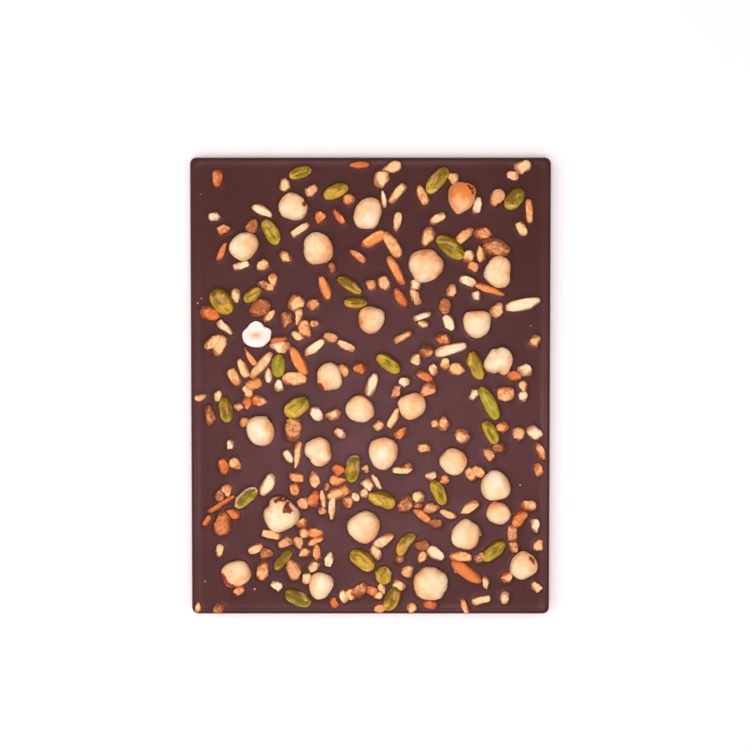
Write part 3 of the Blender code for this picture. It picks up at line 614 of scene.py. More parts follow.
def makeCutHazelnut():
    # The lower half of a nut: rings run from under it up to its rim and in over the flat face.
    x, y, length, width, heading = cutHazelnut["place"]
    rings, sides = cutHazelnut["rings"], cutHazelnut["sides"]
    drop, rimWide = cutHazelnut["rimDrop"], cutHazelnut["rimWide"]
    hollowLong, hollowWide = cutHazelnut["hollowSize"]
    turn = math.radians(heading)
    face = slab["surface"] + cutHazelnut["faceAbove"]
    points, flesh, hollow = [], [], []
    for ring in range(2 * rings):
        onFace = ring >= rings
        if onFace:
            radius = 1.0 - (ring - rings + 0.5) / rings
            height = -drop * max(0.0, (radius - 1.0 + rimWide) / rimWide) ** 2
        else:
            rise = math.pi / 2 * (ring + 0.5) / rings
            radius = math.sin(rise)
            height = -drop - math.cos(rise) * (cutHazelnut["depth"] - drop)
        for side in range(sides):
            angle = 2 * math.pi * side / sides
            reach = radius * (1.0 + (cutOutline(angle, heading) - 1.0) * radius**2)
            along, across = reach * math.cos(angle), reach * math.sin(angle)
            dip = math.hypot(along / hollowLong, across / hollowWide)
            low = height
            if onFace:
                low -= cutHazelnut["hollow"] * math.exp(-(0.8 * dip) ** 2.5)
                low += cutHazelnut["waves"] * math.sin(5 * along + 3 * across) * (1.0 - radius)
            px, py = along * length / 2, across * width / 2
            points.append((
                (x + px * math.cos(turn) - py * math.sin(turn)) * mm,
                (y + px * math.sin(turn) + py * math.cos(turn)) * mm,
                (face + low) * mm,
            ))
            flesh.append(1.0 if onFace else 0.0)
            hollow.append(math.exp(-0.6 * dip**1.3) if onFace else 0.0)
    faces = []
    for start in range(0, (2 * rings - 1) * sides, sides):
        for side in range(sides):
            after = (side + 1) % sides
            faces.append((start + side, start + after, start + sides + after, start + sides + side))
    faces.append(tuple(reversed(range(sides))))
    faces.append(tuple(range((2 * rings - 1) * sides, 2 * rings * sides)))
    mesh = bpy.data.meshes.new("cutHazelnut")
    mesh.from_pydata(points, [], faces)
    mesh.shade_smooth()
    for label, values in (("flesh", flesh), ("hollow", hollow)):
        mesh.attributes.new(label, "FLOAT", "POINT").data.foreach_set("value", np.array(values, np.float32))
    mesh.materials.append(makeCutFinish())
    return newObject("cutHazelnut", mesh)


halfNut = makeCutHazelnut()
print("cut hazelnut made")

# Pistachio kernels: x, y, length, width, heading, bow, how green, how dark.
pistachioRows = (
    (29.8, 92.4, 14.0, 6.8, 52, 0.3, 0.55, 0.45), (64.2, 84.2, 11.2, 7.3, 50, -0.3, 0.70, 0.60),
    (35.7, 62.6, 15.0, 7.3, -38, 0.4, 0.65, 0.55), (-66.5, 38.4, 13.0, 9.0, -50, 0.5, 0.35, 0.45),
    (-52.9, 41.5, 9.4, 5.2, 40, 0.2, 0.40, 0.35), (-9.4, 45.7, 12.4, 5.0, -33, 0.3, 0.55, 0.60),
    (-6.7, 37.9, 10.4, 4.8, 0, -0.2, 0.30, 0.50), (-41.4, 9.6, 10.6, 5.9, 88, 0.0, 0.95, 0.15),
    (-33.2, -9.1, 12.2, 8.0, 35, -0.3, 0.45, 0.00), (-65.1, -10.1, 11.8, 6.2, -80, 0.3, 0.60, 0.40),
    (47.3, 9.6, 13.3, 6.2, -70, -0.5, 0.50, 0.35), (53.2, -7.2, 16.4, 6.4, -62, 0.5, 1.00, 0.10),
    (53.9, -20.4, 11.3, 6.2, -60, 0.2, 0.60, 0.15), (-7.8, -36.8, 12.4, 6.6, 78, 0.5, 0.75, 0.50),
    (-56.1, -49.8, 13.0, 6.0, 42, 0.3, 0.85, 0.50), (5.1, -50.8, 12.8, 7.3, -20, 0.5, 0.45, 0.15),
    (-39.5, -78.0, 11.4, 5.0, 50, 0.2, 0.60, 0.75), (15.9, -70.9, 12.0, 5.8, 55, 0.7, 0.35, 0.20),
    (-3.7, -78.1, 12.8, 7.4, -38, 0.3, 0.40, 0.10), (5.9, -84.9, 8.6, 7.2, -82, 0.0, 0.50, 0.15),
    (-32.8, -95.2, 12.8, 6.7, -25, -0.3, 0.80, 0.60), (9.6, -95.7, 11.6, 6.5, 65, -0.4, 0.40, 0.50),
    (-31.4, 95.9, 10.4, 5.4, 20, 0.2, 0.50, 0.40), (-44.5, 69.5, 12.6, 6.4, -62, 0.4, 0.60, 0.30),
    (-15.5, 87.5, 11.8, 6.2, 24, 0.3, 0.45, 0.15), (8.0, 10.5, 12.4, 6.4, -36, 0.3, 0.60, 0.25),
    (30.6, -47.5, 12.0, 6.0, -64, 0.3, 0.50, 0.20), (55.5, -74.0, 12.4, 6.2, 40, 0.3, 0.65, 0.35),
)

# Dents and bulges in the pistachios' outlines, as for the hazelnuts.
pistachioDents = {
    1: ((215, 0.05, 16), (92, -0.09, 20), (142, -0.03, 26), (46, -0.06, 14)),
    2: ((48, 0.10, 9), (80, -0.08, 14), (18, -0.06, 14), (235, -0.03, 20)),
    3: ((160, 0.07, 14), (120, 0.05, 14), (305, 0.06, 13), (345, -0.04, 16)),
    8: ((120, 0.06, 14), (56, 0.06, 14), (236, 0.06, 14), (300, 0.06, 14)),
    9: ((75, 0.05, 16), (5, 0.04, 16), (215, -0.04, 16), (125, 0.02, 20)),
    11: ((150, 0.14, 15), (208, -0.18, 15), (30, 0.05, 20), (320, 0.06, 14)),
    12: ((150, -0.03, 20), (330, -0.03, 20), (100, 0.05, 12), (280, 0.05, 12)),
    14: ((24, -0.12, 15), (100, 0.06, 14), (170, 0.05, 24), (265, -0.05, 14)),
    15: ((75, 0.07, 14), (10, 0.06, 14), (255, 0.07, 14), (190, 0.06, 14)),
    16: ((264, -0.13, 14), (196, -0.15, 12), (128, -0.15, 12), (318, 0.03, 14)),
    18: ((325, -0.26, 20), (140, 0.06, 24), (235, 0.06, 14), (60, -0.04, 12)),
    19: ((170, 0.05, 14), (110, 0.04, 14), (300, 0.06, 14), (350, 0.03, 14)),
    20: ((40, 0.05, 14), (95, -0.06, 12), (150, 0.05, 14), (270, 0.03, 14)),
}

# Marks on the pistachios, as for the hazelnuts, each with its colour.
pistachioMarks = {
    # Painted highlights: bright yellow lines along ridges, where the light catches them.
    "paintedRidgeHighlight": {
        "colour": (0.80, 0.62, 0.17), "share": 0.6, "noise": 400.0, "frayed": 0.3, "blur": 0.6,
        "strokes": (
            (30.4, 65.0, 34.4, 64.6, 0.25), (34.4, 64.6, 38.4, 63.2, 0.3), (61.6, 81.0, 65.2, 80.6, 0.5),
            (26.2, 87.4, 29.6, 87.8, 0.5), (25.8, 89.4, 28.4, 94.6, 0.15), (50.6, -3.0, 54.0, -9.6, 0.2),
            (-0.6, -48.4, 4.4, -52.2, 0.5), (44.8, 11.6, 44.2, 9.8, 0.4), (-37.0, -10.6, -33.6, -13.0, 0.4),
            (-4.6, -82.0, -1.0, -82.8, 0.5),
        ),
    },
    "skin": {
        "colour": (0.60, 0.34, 0.16), "share": 0.6, "noise": 1000.0, "frayed": 1.1, "blur": 0.3,
        "strokes": (
            (29.6, 93.6, 28.6, 91.2, 0.5), (65.6, 85.8, 65.0, 84.8, 0.5), (-7.4, 46.2, -6.0, 43.8, 0.7),
            (-68.0, 40.4, -65.6, 38.6, 1.1), (-64.4, -9.4, -64.0, -11.4, 0.3),
            (-31.6, -10.6, -31.0, -11.0, 0.6), (50.4, 5.4, 49.8, 3.6, 0.5), (-5.6, -33.6, -5.9, -36.6, 0.8),
            (15.0, -72.6, 17.0, -69.6, 0.8), (-30.4, -94.0, -28.6, -96.0, 0.6),
            (11.0, -92.6, 10.6, -95.0, 0.7), (33.0, -44.2, 33.4, -46.4, 0.8),
            (-46.4, 73.8, -45.4, 72.2, 0.8),
        ),
    },
    "rim": {
        "colour": (0.78, 0.66, 0.42), "share": 0.7, "noise": 1000.0, "frayed": 0.8, "blur": 0.2,
        "strokes": (
            (-60.6, -53.6, -60.3, -50.6, 0.35), (-60.0, -49.9, -55.6, -45.9, 0.4),
            (-55.0, -45.6, -52.4, -45.4, 0.4), (-51.8, -45.7, -51.3, -46.7, 0.3),
            (-59.8, -54.7, -57.4, -54.0, 0.3), (-56.6, -53.6, -52.8, -50.2, 0.2),
            (-10.7, -34.2, -9.7, -32.0, 0.3), (-9.4, -31.8, -7.6, -31.0, 0.4),
            (-7.3, -30.9, -5.4, -31.2, 0.4), (-37.2, -7.0, -34.8, -5.0, 0.3), (7.8, -82.0, 9.0, -84.0, 0.4),
            (-37.9, -95.5, -35.1, -98.3, 0.25), (-31.6, -92.6, -28.8, -93.6, 0.3),
        ),
    },
}

pistachio = {
    "height": 0.86,        # against the width
    "sunk": 0.3,
    "sizes": {
        "Rings": 48,
        "Sides": 44,
        "Blunt": 2.5,
        "Slim Ends": 0.16,
        "Groove": 0.09,
        "Wrinkle": 0.38,
    },
    "seamWide": 0.2,
    "seamScale": 0.9,
    "seamWander": 2.4,
    "wrinkleStretch": (0.9, 1.9, 1.9),
    "finish": {
        "gold": (0.64, 0.375, 0.044),
        "green": (0.37, 0.335, 0.020),
        # dark is a real darker tone, and it also serves as painted shade in furrows, in the seam and on
        # sides facing northward.
        "dark": (0.185, 0.102, 0.003),
        # side is painted shade: a dark outline on the steep sides.
        "side": (0.18, 0.084, 0.004),
        "greenRange": (1.40, 2.25),
        "darkRange": (1.40, 2.45),
        "steepShadeRange": (0.20, 0.70, 0.85, 0.0),      # painted shade, from steep to level, and how much it covers there
        "patchScale": 260.0,
        "mottleScale": 700.0,
        "grainScale": 1300.0,
        "bump": (0.6, 0.0003),
        "gloss": {"Roughness": 0.46, "Specular IOR Level": 0.25, "Subsurface Weight": 0.06,
                  "Subsurface Radius": (0.8, 0.7, 0.2), "Subsurface Scale": 0.0008},
    },
}


def makePistachioFinish():
    material, tree, place = newMaterial("pistachioKernel")
    look = pistachio["finish"]
    x, around = readAround(tree, 0.8, 1.3)
    streaks = noise(around, 1.6, 1.0, 0.4)
    patches = noise(place, look["patchScale"], 3.0, 0.5)
    mottle = noise(place, look["mottleScale"], 3.0, 0.6)
    ends = x * x * (x * x)
    green = readAttribute(tree, "green") + streaks + patches * 1.6 - ends * 0.5
    colour = mix(spread(green, *look["greenRange"]), look["gold"], look["green"])
    dark = readAttribute(tree, "dark") + streaks + patches * 1.3 - ends * 0.5 + mottle * 0.8
    # Painted shade: sides facing northward are darker, as if the light fell from the south.
    dark = dark + readAttribute(tree, "north") * 0.75
    colour = mix(spread(dark, *look["darkRange"]), colour, look["dark"])
    # Painted shade: steep sides darken into a thin outline.
    steep = readAttribute(tree, "up") + patches * 0.3
    colour = mix(spread(steep, *look["steepShadeRange"]), colour, look["side"])
    for mark in pistachioMarks.values():
        colour = mix(nearStrokes(place, mark) * mark["share"], colour, mark["colour"])
    finishSurface(tree, colour, look, noise(place, look["grainScale"], 4.0, 0.6) + mottle * 2.0)
    return material


def pistachioPoint(tree, given):
    ball = readVector(tree, "ball")
    nut = readField(tree, "nut")
    x, y, z = split(ball)
    reach = bluntReach(ball, given["Blunt"])
    slim = 1.0 - abs(x) ** 3.0 * given["Slim Ends"]
    # The seam between the two halves runs along the nut, beside its top, and wanders.
    wander = (noise(offsetByNut(ball, nut, 2.9), pistachio["seamScale"]) - 0.5) * pistachio["seamWander"]
    offSeam = (y - wander) / pistachio["seamWide"]
    seam = (-offSeam * offSeam).calc("EXPONENT") * spread(z, 0.1, 0.5)
    wrinkles = noise(offsetByNut(ball * pistachio["wrinkleStretch"], nut, 4.1), 1.0, 2.0, 0.5) - 0.5
    grown = (wrinkles * given["Wrinkle"] + 1.0 - seam * given["Groove"]) * reach * dentFactor(x, y)
    thick = slim * grown
    bend = readField(tree, "bow") * (0.5 - x * x)
    point = join(x * reach, y * thick, z * thick) * readVector(tree, "half") + join(0.0, bend, 0.0)
    # Painted highlight and shade: ridges are painted lighter yellow, and furrows and the seam darker green,
    # as the light falls on them.
    return point, {"dark": readField(tree, "depth") + seam * 0.22 - wrinkles * 1.5}


def pistachioPoints():
    rows = []
    for number, (x, y, length, width, heading, bow, green, dark) in enumerate(pistachioRows):
        rows.append(nutRow(
            number, x, y, (length, width, pistachio["height"] * width),
            (0.0, 0.0, math.radians(heading)), pistachio["sunk"], bow=bow * mm, green=green, depth=dark,
            **dentValues(pistachioDents, number + 1, heading, length, width),
        ))
    return rows


def makePistachios():
    inputs = {**pistachio["sizes"], "Finish": makePistachioFinish()}
    tree = nutTree("pistachios", inputs, ballAlongX, pistachioPoint)
    return growNuts("pistachioKernels", pistachioPoints(), tree, inputs)


kernels = makePistachios()
print("pistachios grown")

# Chopped nuts by piece: their kind, their tone and, for each nut, x, y, length, width, heading and how much
# narrower the far end is.
choppedRows = {
    "whiteSticks": ("stick", "white", (
        (43.5, 47.6, 7.4, 3.8, -22, 0), (-65.4, 26.7, 8.3, 3.9, -42, 0.35),
        (-17.4, -54.8, 10.0, 3.8, -95, 0.35), (-12.2, -94.8, 5.8, 3.7, -62, 0.1),
        (23.2, 31.9, 8.0, 2.9, 18, 0.2), (5.8, 84.1, 7.6, 3.1, 100, 0.5), (47.8, 81.4, 7.5, 4.1, 75, 0.25),
        (35.1, 28.9, 7.2, 4.8, -75, 0.15), (-58.0, 54.5, 7.0, 3.6, 20, 0.2),
        (-11.0, 18.5, 8.2, 3.8, -25, 0.2),
    )),
    "roastedSticks": ("stick", "roasted", (
        (11.9, 86.8, 10.3, 3.9, 48, 0), (12.0, 74.1, 8.3, 3.9, 80, 0.1), (30.0, 75.6, 7.5, 3.9, 25, 0.1),
        (71.1, 78.8, 10.4, 3.3, -85, 0), (-32.9, -30.6, 12.0, 3.6, -97, 0.3), (14.4, -37.5, 9.0, 3.1, 0, 0),
        (-51.9, -73.1, 7.0, 3.8, 30, 0), (42.5, -99.4, 6.8, 3.0, -65, 0.3), (-33.4, -40.8, 6.4, 4.1, 0, 0),
        (-54.3, 13.8, 9.3, 3.0, 122, 0.5), (-31.5, 70.5, 9.0, 3.6, 35, 0.2),
        (10.5, -14.0, 9.4, 3.8, 62, 0.2), (50.0, -96.5, 8.6, 3.8, 14, 0.2),
    )),
    "toastedSticks": ("stick", "toasted", (
        (-5.0, 99.2, 8.6, 2.9, 3, 0), (23.1, 86.1, 9.2, 4.2, -65, 0), (-5.8, 58.8, 8.6, 3.1, -38, 0),
        (13.3, 40.0, 9.3, 4.1, -55, 0), (-67.2, -52.8, 14.5, 2.7, 32, 0.35),
        (-73.7, -60.3, 5.4, 2.8, 60, 0.2), (-21.6, -50.4, 8.2, 2.9, 92, 0.2),
        (76.7, -29.0, 8.0, 3.4, -68, 0.1), (75.6, -37.2, 5.7, 3.7, -75, 0),
        (23.2, -57.9, 9.0, 3.5, -38, 0.1), (-44.7, -66.5, 8.6, 3.7, -12, 0), (-41.0, 21.2, 7.6, 2.6, 8, 0),
        (24.6, 4.7, 8.0, 3.8, -25, 0.1), (-24.4, -74.8, 7.5, 3.8, -82, 0), (-16.4, -97.6, 5.1, 3.5, -68, 0),
        (-9.1, -93.9, 5.2, 3.7, -55, 0), (-66.5, 60.5, 9.0, 3.2, 62, 0.2),
        (-14.0, 76.0, 8.4, 3.4, -48, 0.1), (14.5, 22.5, 8.8, 3.2, 28, 0.1),
        (35.0, -57.5, 8.0, 3.4, -20, 0.1),
    )),
    "paleSlices": ("slice", "white", (
        (68.5, 37.0, 15.4, 5.4, 12, 0.1), (-25.2, 17.6, 10.5, 4.7, 38, 0.3), (-49.0, 9.7, 14.0, 4.2, 50, 0),
        (36.0, 16.9, 14.0, 5.0, 15, 0.2), (-37.1, -31.4, 6.0, 3.7, -60, 0.2),
        (6.0, -69.4, 9.6, 5.1, 32, 0.3), (-24.3, -12.1, 6.8, 5.4, -55, 0.2),
        (29.4, -75.3, 8.2, 5.2, -38, 0), (-46.3, -44.3, 10.2, 5.1, 62, 0),
        (-48.5, 79.0, 9.6, 4.6, -34, 0.2), (0.5, 1.0, 10.2, 4.8, 74, 0.2),
    )),
    "toastedSlices": ("slice", "golden", (
        (1.5, 66.3, 11.5, 4.8, 32, 0), (9.7, 64.0, 12.6, 5.1, -60, 0), (67.6, 71.1, 7.0, 4.3, -62, 0.1),
        (11.5, 52.4, 13.8, 4.4, -62, 0.1), (53.3, 43.7, 13.6, 3.5, -19, 0.1),
        (-57.2, 8.5, 8.8, 4.6, 115, 0.3), (-32.6, 11.7, 13.8, 4.8, -58, 0), (-34.2, 3.8, 10.8, 5.8, 0, 0),
        (43.2, -83.7, 15.8, 5.5, -36, 0.1), (40.8, -76.7, 9.6, 4.8, -8, 0),
        (-24.9, -69.5, 7.6, 3.1, 25, 0.2), (-61.1, 4.4, 8.0, 5.2, -60, 0.3),
        (-20.5, 44.5, 10.6, 4.6, -70, 0.1), (44.6, -54.6, 9.0, 4.6, 30, 0.1),
    )),
    "whiteBits": ("bit", "white", (
        (63.4, 94.9, 4.9, 3.8, -20, 0), (20.1, 46.6, 5.4, 5.0, 80, 0), (19.9, 40.5, 6.8, 5.1, 120, 0.4),
        (-40.5, 17.9, 8.4, 5.2, 0, 0), (68.7, -4.2, 4.3, 3.9, 90, 0.1), (-1.3, -44.0, 6.3, 5.0, -45, 0.2),
        (2.7, -42.9, 7.0, 2.6, -60, 0), (-2.9, -47.8, 3.8, 3.5, 90, 0), (-6.8, -49.5, 3.7, 3.2, -30, 0),
        (-42.6, -90.0, 4.8, 4.0, 0, 0), (-76.4, -4.7, 4.5, 3.6, 0, 0.2), (-63.1, -26.0, 4.4, 3.9, 90, 0.4),
        (-41.3, 0.8, 5.0, 4.6, 90, 0), (-45.8, 5.2, 6.2, 4.1, 100, 0.4), (-68.6, -4.2, 4.5, 3.3, 90, 0),
        (-59.4, -8.9, 4.9, 4.0, 180, 0.35), (28.1, 7.8, 5.2, 4.0, 90, 0.1), (46.4, -3.6, 4.8, 3.8, 60, 0),
        (47.6, 41.0, 3.8, 3.7, 0, 0), (-18.7, -77.7, 6.6, 4.5, 90, 0.4), (66.7, -21.2, 5.4, 5.0, -90, 0.2),
        (74.2, -62.6, 5.6, 4.6, -90, 0.4), (-26.5, 88.0, 5.2, 4.2, 40, 0.1),
        (-70.0, 76.5, 4.8, 4.0, -15, 0.2), (15.0, 2.5, 5.4, 4.4, 25, 0.2),
        (-13.5, -20.5, 5.0, 4.2, -50, 0.1), (27.0, -40.0, 4.8, 4.0, 10, 0.1),
        (60.5, -95.5, 5.0, 4.2, 70, 0.2), (69.8, 7.8, 6.7, 5.3, -10, 0), (74.1, -20.9, 7.4, 5.0, -40, 0.1),
    )),
    "roastedBits": ("bit", "roasted", (
        (9.5, 98.2, 7.9, 5.1, 18, 0.1), (5.0, 92.9, 7.0, 5.9, 80, 0), (37.2, 93.6, 5.9, 4.9, 110, 0.1),
        (67.9, 98.6, 7.2, 4.9, 25, 0), (42.0, 68.0, 8.8, 4.7, 48, 0.2), (44.0, 58.8, 5.9, 5.4, 90, 0.4),
        (45.9, 54.0, 4.8, 4.2, -20, 0), (36.4, 43.4, 5.1, 4.7, 90, 0.3), (6.4, 46.6, 5.9, 5.5, -30, 0.1),
        (0.6, 46.0, 4.8, 4.1, -60, 0), (56.7, 34.7, 6.5, 5.6, 60, 0.2), (-32.4, 31.5, 6.6, 4.0, -100, 0.3),
        (-32.7, 23.1, 5.4, 4.4, 0, 0), (-45.3, 32.0, 6.6, 3.9, 60, 0.3), (-60.4, 41.0, 6.0, 4.3, -80, 0.2),
        (-70.8, 20.2, 8.0, 4.2, 35, 0.1), (-52.6, 1.5, 6.9, 5.0, 15, 0), (-55.2, -1.8, 5.7, 3.9, -60, 0.1),
        (33.3, 10.5, 5.7, 4.8, -90, 0.35), (59.2, -18.1, 4.8, 4.2, 20, 0),
        (32.9, -16.9, 6.7, 5.5, 100, 0.4), (41.2, -22.1, 6.9, 5.5, -50, 0), (-56.5, -16.1, 4.3, 4.1, 0, 0),
        (-64.6, -47.0, 5.5, 4.5, -80, 0.1), (-30.5, -52.2, 5.0, 4.6, 90, 0),
        (-25.4, -41.9, 6.9, 4.6, -65, 0.1), (-14.7, -42.1, 7.1, 4.8, -10, 0.1),
        (-11.8, -46.7, 5.4, 4.3, 25, 0), (21.4, -49.6, 4.7, 4.6, 0, 0),
        (-68.3, -74.1, 6.0, 3.8, -105, 0.35), (-25.3, -66.3, 7.0, 4.4, 0, 0),
        (-25.7, -80.9, 5.9, 4.1, 40, 0.1), (-29.0, -86.6, 5.0, 4.2, 40, 0), (4.3, -100.2, 5.0, 3.4, 5, 0),
        (12.7, -89.5, 5.7, 4.1, -15, 0), (16.9, -83.4, 5.3, 5.0, 20, 0), (18.8, -100.0, 4.3, 4.0, -60, 0.1),
        (2.3, -74.6, 7.0, 4.0, -72, 0), (3.2, -94.5, 3.9, 2.8, 15, 0), (-78.0, -99.8, 4.2, 2.7, 80, 0),
        (23.4, 28.3, 4.2, 2.9, 0, 0), (-45.3, 44.8, 4.0, 2.9, 0, 0), (52.2, -88.6, 5.0, 3.0, -80, 0.1),
        (-48.0, 54.5, 6.0, 4.6, 30, 0.1), (-38.5, 90.5, 5.2, 4.4, 100, 0.1), (-9.5, 84.0, 5.0, 4.4, 0, 0.1),
        (-12.5, 7.5, 5.6, 4.6, -40, 0.1), (-17.0, -12.5, 6.2, 4.8, 30, 0.1), (3.5, -17.5, 4.8, 4.2, 10, 0),
        (20.5, 12.5, 5.6, 4.4, 65, 0.1), (24.0, -27.5, 5.4, 4.4, -30, 0.1),
        (48.4, -66.0, 4.6, 3.8, -60, 0.1), (75.2, -90.6, 5.2, 4.2, -50, 0.1),
        (-25.6, 37.0, 5.4, 4.4, 20, 0.1),
    )),
    "toastedBits": ("bit", "toasted", (
        (-68.2, 93.2, 7.2, 5.3, -90, 0.4), (26.3, 67.4, 8.6, 5.5, 72, 0), (50.4, 69.0, 7.7, 5.0, 12, 0.1),
        (49.3, 59.6, 7.0, 3.8, -83, 0), (-43.8, 48.2, 5.3, 3.7, 80, 0), (-71.6, 33.1, 9.2, 5.7, -12, 0),
        (-33.2, 37.6, 6.8, 6.3, 60, 0), (-29.3, 25.8, 8.2, 5.5, -72, 0), (-67.5, 18.5, 8.6, 5.5, -110, 0.2),
        (-50.4, -6.2, 6.9, 4.7, -12, 0.3), (-55.6, -7.3, 5.3, 4.1, 75, 0), (38.8, 8.1, 6.7, 5.0, 0, 0),
        (64.5, 4.9, 6.2, 4.4, 0, 0), (68.4, 0.3, 4.5, 3.6, 90, 0), (60.7, -2.9, 7.4, 6.2, 0, 0),
        (29.3, -16.5, 3.8, 3.6, 0, 0), (74.1, 20.8, 5.7, 4.2, 50, 0), (32.3, 21.3, 6.5, 5.2, 10, 0),
        (-65.8, -35.8, 6.7, 4.7, -72, 0), (-61.0, -34.8, 5.7, 4.6, -60, 0),
        (-62.2, -57.2, 6.2, 4.3, 160, 0.2), (-33.9, -45.7, 5.7, 5.2, -90, 0.3),
        (-31.1, -61.2, 4.9, 4.6, 0, 0), (-14.3, -37.1, 5.6, 4.7, 25, 0), (-15.8, -48.2, 7.0, 5.0, 15, 0.1),
        (-25.5, -50.5, 7.3, 5.3, 85, 0), (48.2, -38.2, 5.8, 4.6, -20, 0), (44.9, -39.2, 5.7, 4.3, -60, 0),
        (71.4, -53.4, 6.3, 4.7, -20, 0), (66.8, -58.8, 8.8, 6.1, 50, 0.2),
        (-59.4, -92.2, 5.4, 4.6, -110, 0), (-48.7, -82.9, 7.9, 5.3, 80, 0.1),
        (-30.0, -65.8, 5.1, 4.0, 30, 0), (-30.0, -74.9, 5.2, 4.0, 25, 0), (0.5, -91.6, 5.5, 4.0, -25, 0),
        (5.1, -91.0, 4.9, 3.7, -80, 0), (23.3, -76.6, 4.9, 3.5, 80, 0), (26.7, -98.2, 5.9, 3.9, -12, 0),
        (-65.5, 70.5, 5.6, 4.6, 20, 0.1), (-38.0, 58.5, 5.4, 4.2, -50, 0.1),
        (-22.5, 76.0, 5.8, 4.6, 70, 0.1), (-5.0, 8.5, 5.6, 4.4, -20, 0.1), (13.5, -20.5, 5.8, 4.6, 35, 0.1),
        (33.5, -42.0, 5.0, 4.0, 70, 0.1), (62.0, -86.0, 5.6, 4.4, 15, 0.1),
        (76.0, -71.5, 5.2, 4.2, 55, 0.1),
    )),
    "skinnedBits": ("bit", "skinned", (
        (56.6, 84.7, 7.6, 6.5, -120, 0.25), (56.2, 62.7, 11.4, 7.7, -8, 0), (-49.8, 35.5, 9.2, 7.0, 15, 0),
        (-37.7, 30.2, 7.3, 4.8, 95, 0), (-47.8, 45.9, 5.2, 3.8, -20, 0), (33.3, 36.2, 6.6, 4.9, 90, 0),
        (-72.0, -12.9, 8.7, 5.8, -80, 0), (-34.7, -18.7, 10.2, 7.0, 82, 0), (-68.1, -48.8, 5.0, 3.7, 90, 0),
        (-66.8, -61.0, 10.8, 8.5, 100, 0.3), (-2.1, -36.8, 3.9, 3.5, 90, 0),
        (-10.5, -51.7, 5.4, 4.7, 70, 0), (-21.7, -55.8, 3.5, 3.1, 0, 0), (-19.8, -45.0, 3.2, 2.8, 60, 0),
        (16.9, -35.5, 3.6, 2.8, 0, 0), (15.6, -52.8, 7.5, 6.0, 70, 0), (21.5, -53.6, 3.9, 3.1, 0, 0),
        (27.3, -54.6, 6.8, 5.7, 20, 0.1), (29.3, -61.4, 5.5, 4.8, -40, 0), (26.3, -1.1, 8.0, 5.7, 48, 0),
        (25.2, 15.6, 6.2, 4.6, -10, 0), (57.6, -27.4, 5.0, 4.2, 10, 0), (53.3, -30.3, 7.0, 4.1, -50, 0),
        (63.8, -65.8, 7.0, 4.9, -80, 0), (64.5, -72.0, 5.4, 4.4, -70, 0), (-68.6, -100.2, 5.1, 4.0, -20, 0),
        (-47.1, -75.2, 5.4, 4.7, 0, 0), (-38.4, -69.8, 7.2, 4.5, 18, 0), (-32.6, -70.2, 5.6, 4.1, 90, 0),
        (-34.5, -82.3, 8.9, 6.5, 108, 0.2), (-5.4, -91.7, 7.8, 5.8, 40, 0.1), (13.2, -77.6, 3.7, 3.3, 0, 0),
        (23.0, -71.1, 6.2, 4.7, -20, 0), (-25.2, 28.3, 3.8, 3.2, 0, 0), (-17.4, 53.6, 4.2, 3.2, -60, 0),
        (-53.0, 72.0, 6.2, 5.0, 60, 0.1), (-18.0, 22.0, 6.0, 4.6, -10, 0.1),
        (11.5, -2.5, 6.4, 5.0, 50, 0.1), (49.5, -77.0, 5.4, 4.4, 20, 0.1),
    )),
    "looseCrumbs": ("crumb", "white", (
        (-77.7, 37.8, 0.9, 0.7, 20, 0), (-75.8, 39.7, 0.6, 0.5, 80, 0), (67.3, -44.3, 0.8, 0.6, 10, 0),
        (-52.4, -91.4, 0.8, 0.6, 50, 0), (38.2, -83.7, 0.7, 0.6, 0, 0), (-76.0, 86.3, 0.7, 0.5, -30, 0),
        (-75.0, -88.0, 0.7, 0.6, 15, 0), (72.0, 27.5, 0.6, 0.5, 65, 0),
    )),
}

# Chopped nuts that are roasted a deep orange, by their places.
burntPlaces = (
    (-67.2, -52.8), (-73.7, -60.3), (13.3, 40.0), (23.2, -57.9), (43.2, -83.7), (26.7, -98.2),
    (-41.0, 21.2), (-5.0, 99.2), (-66.8, -61.0),
)

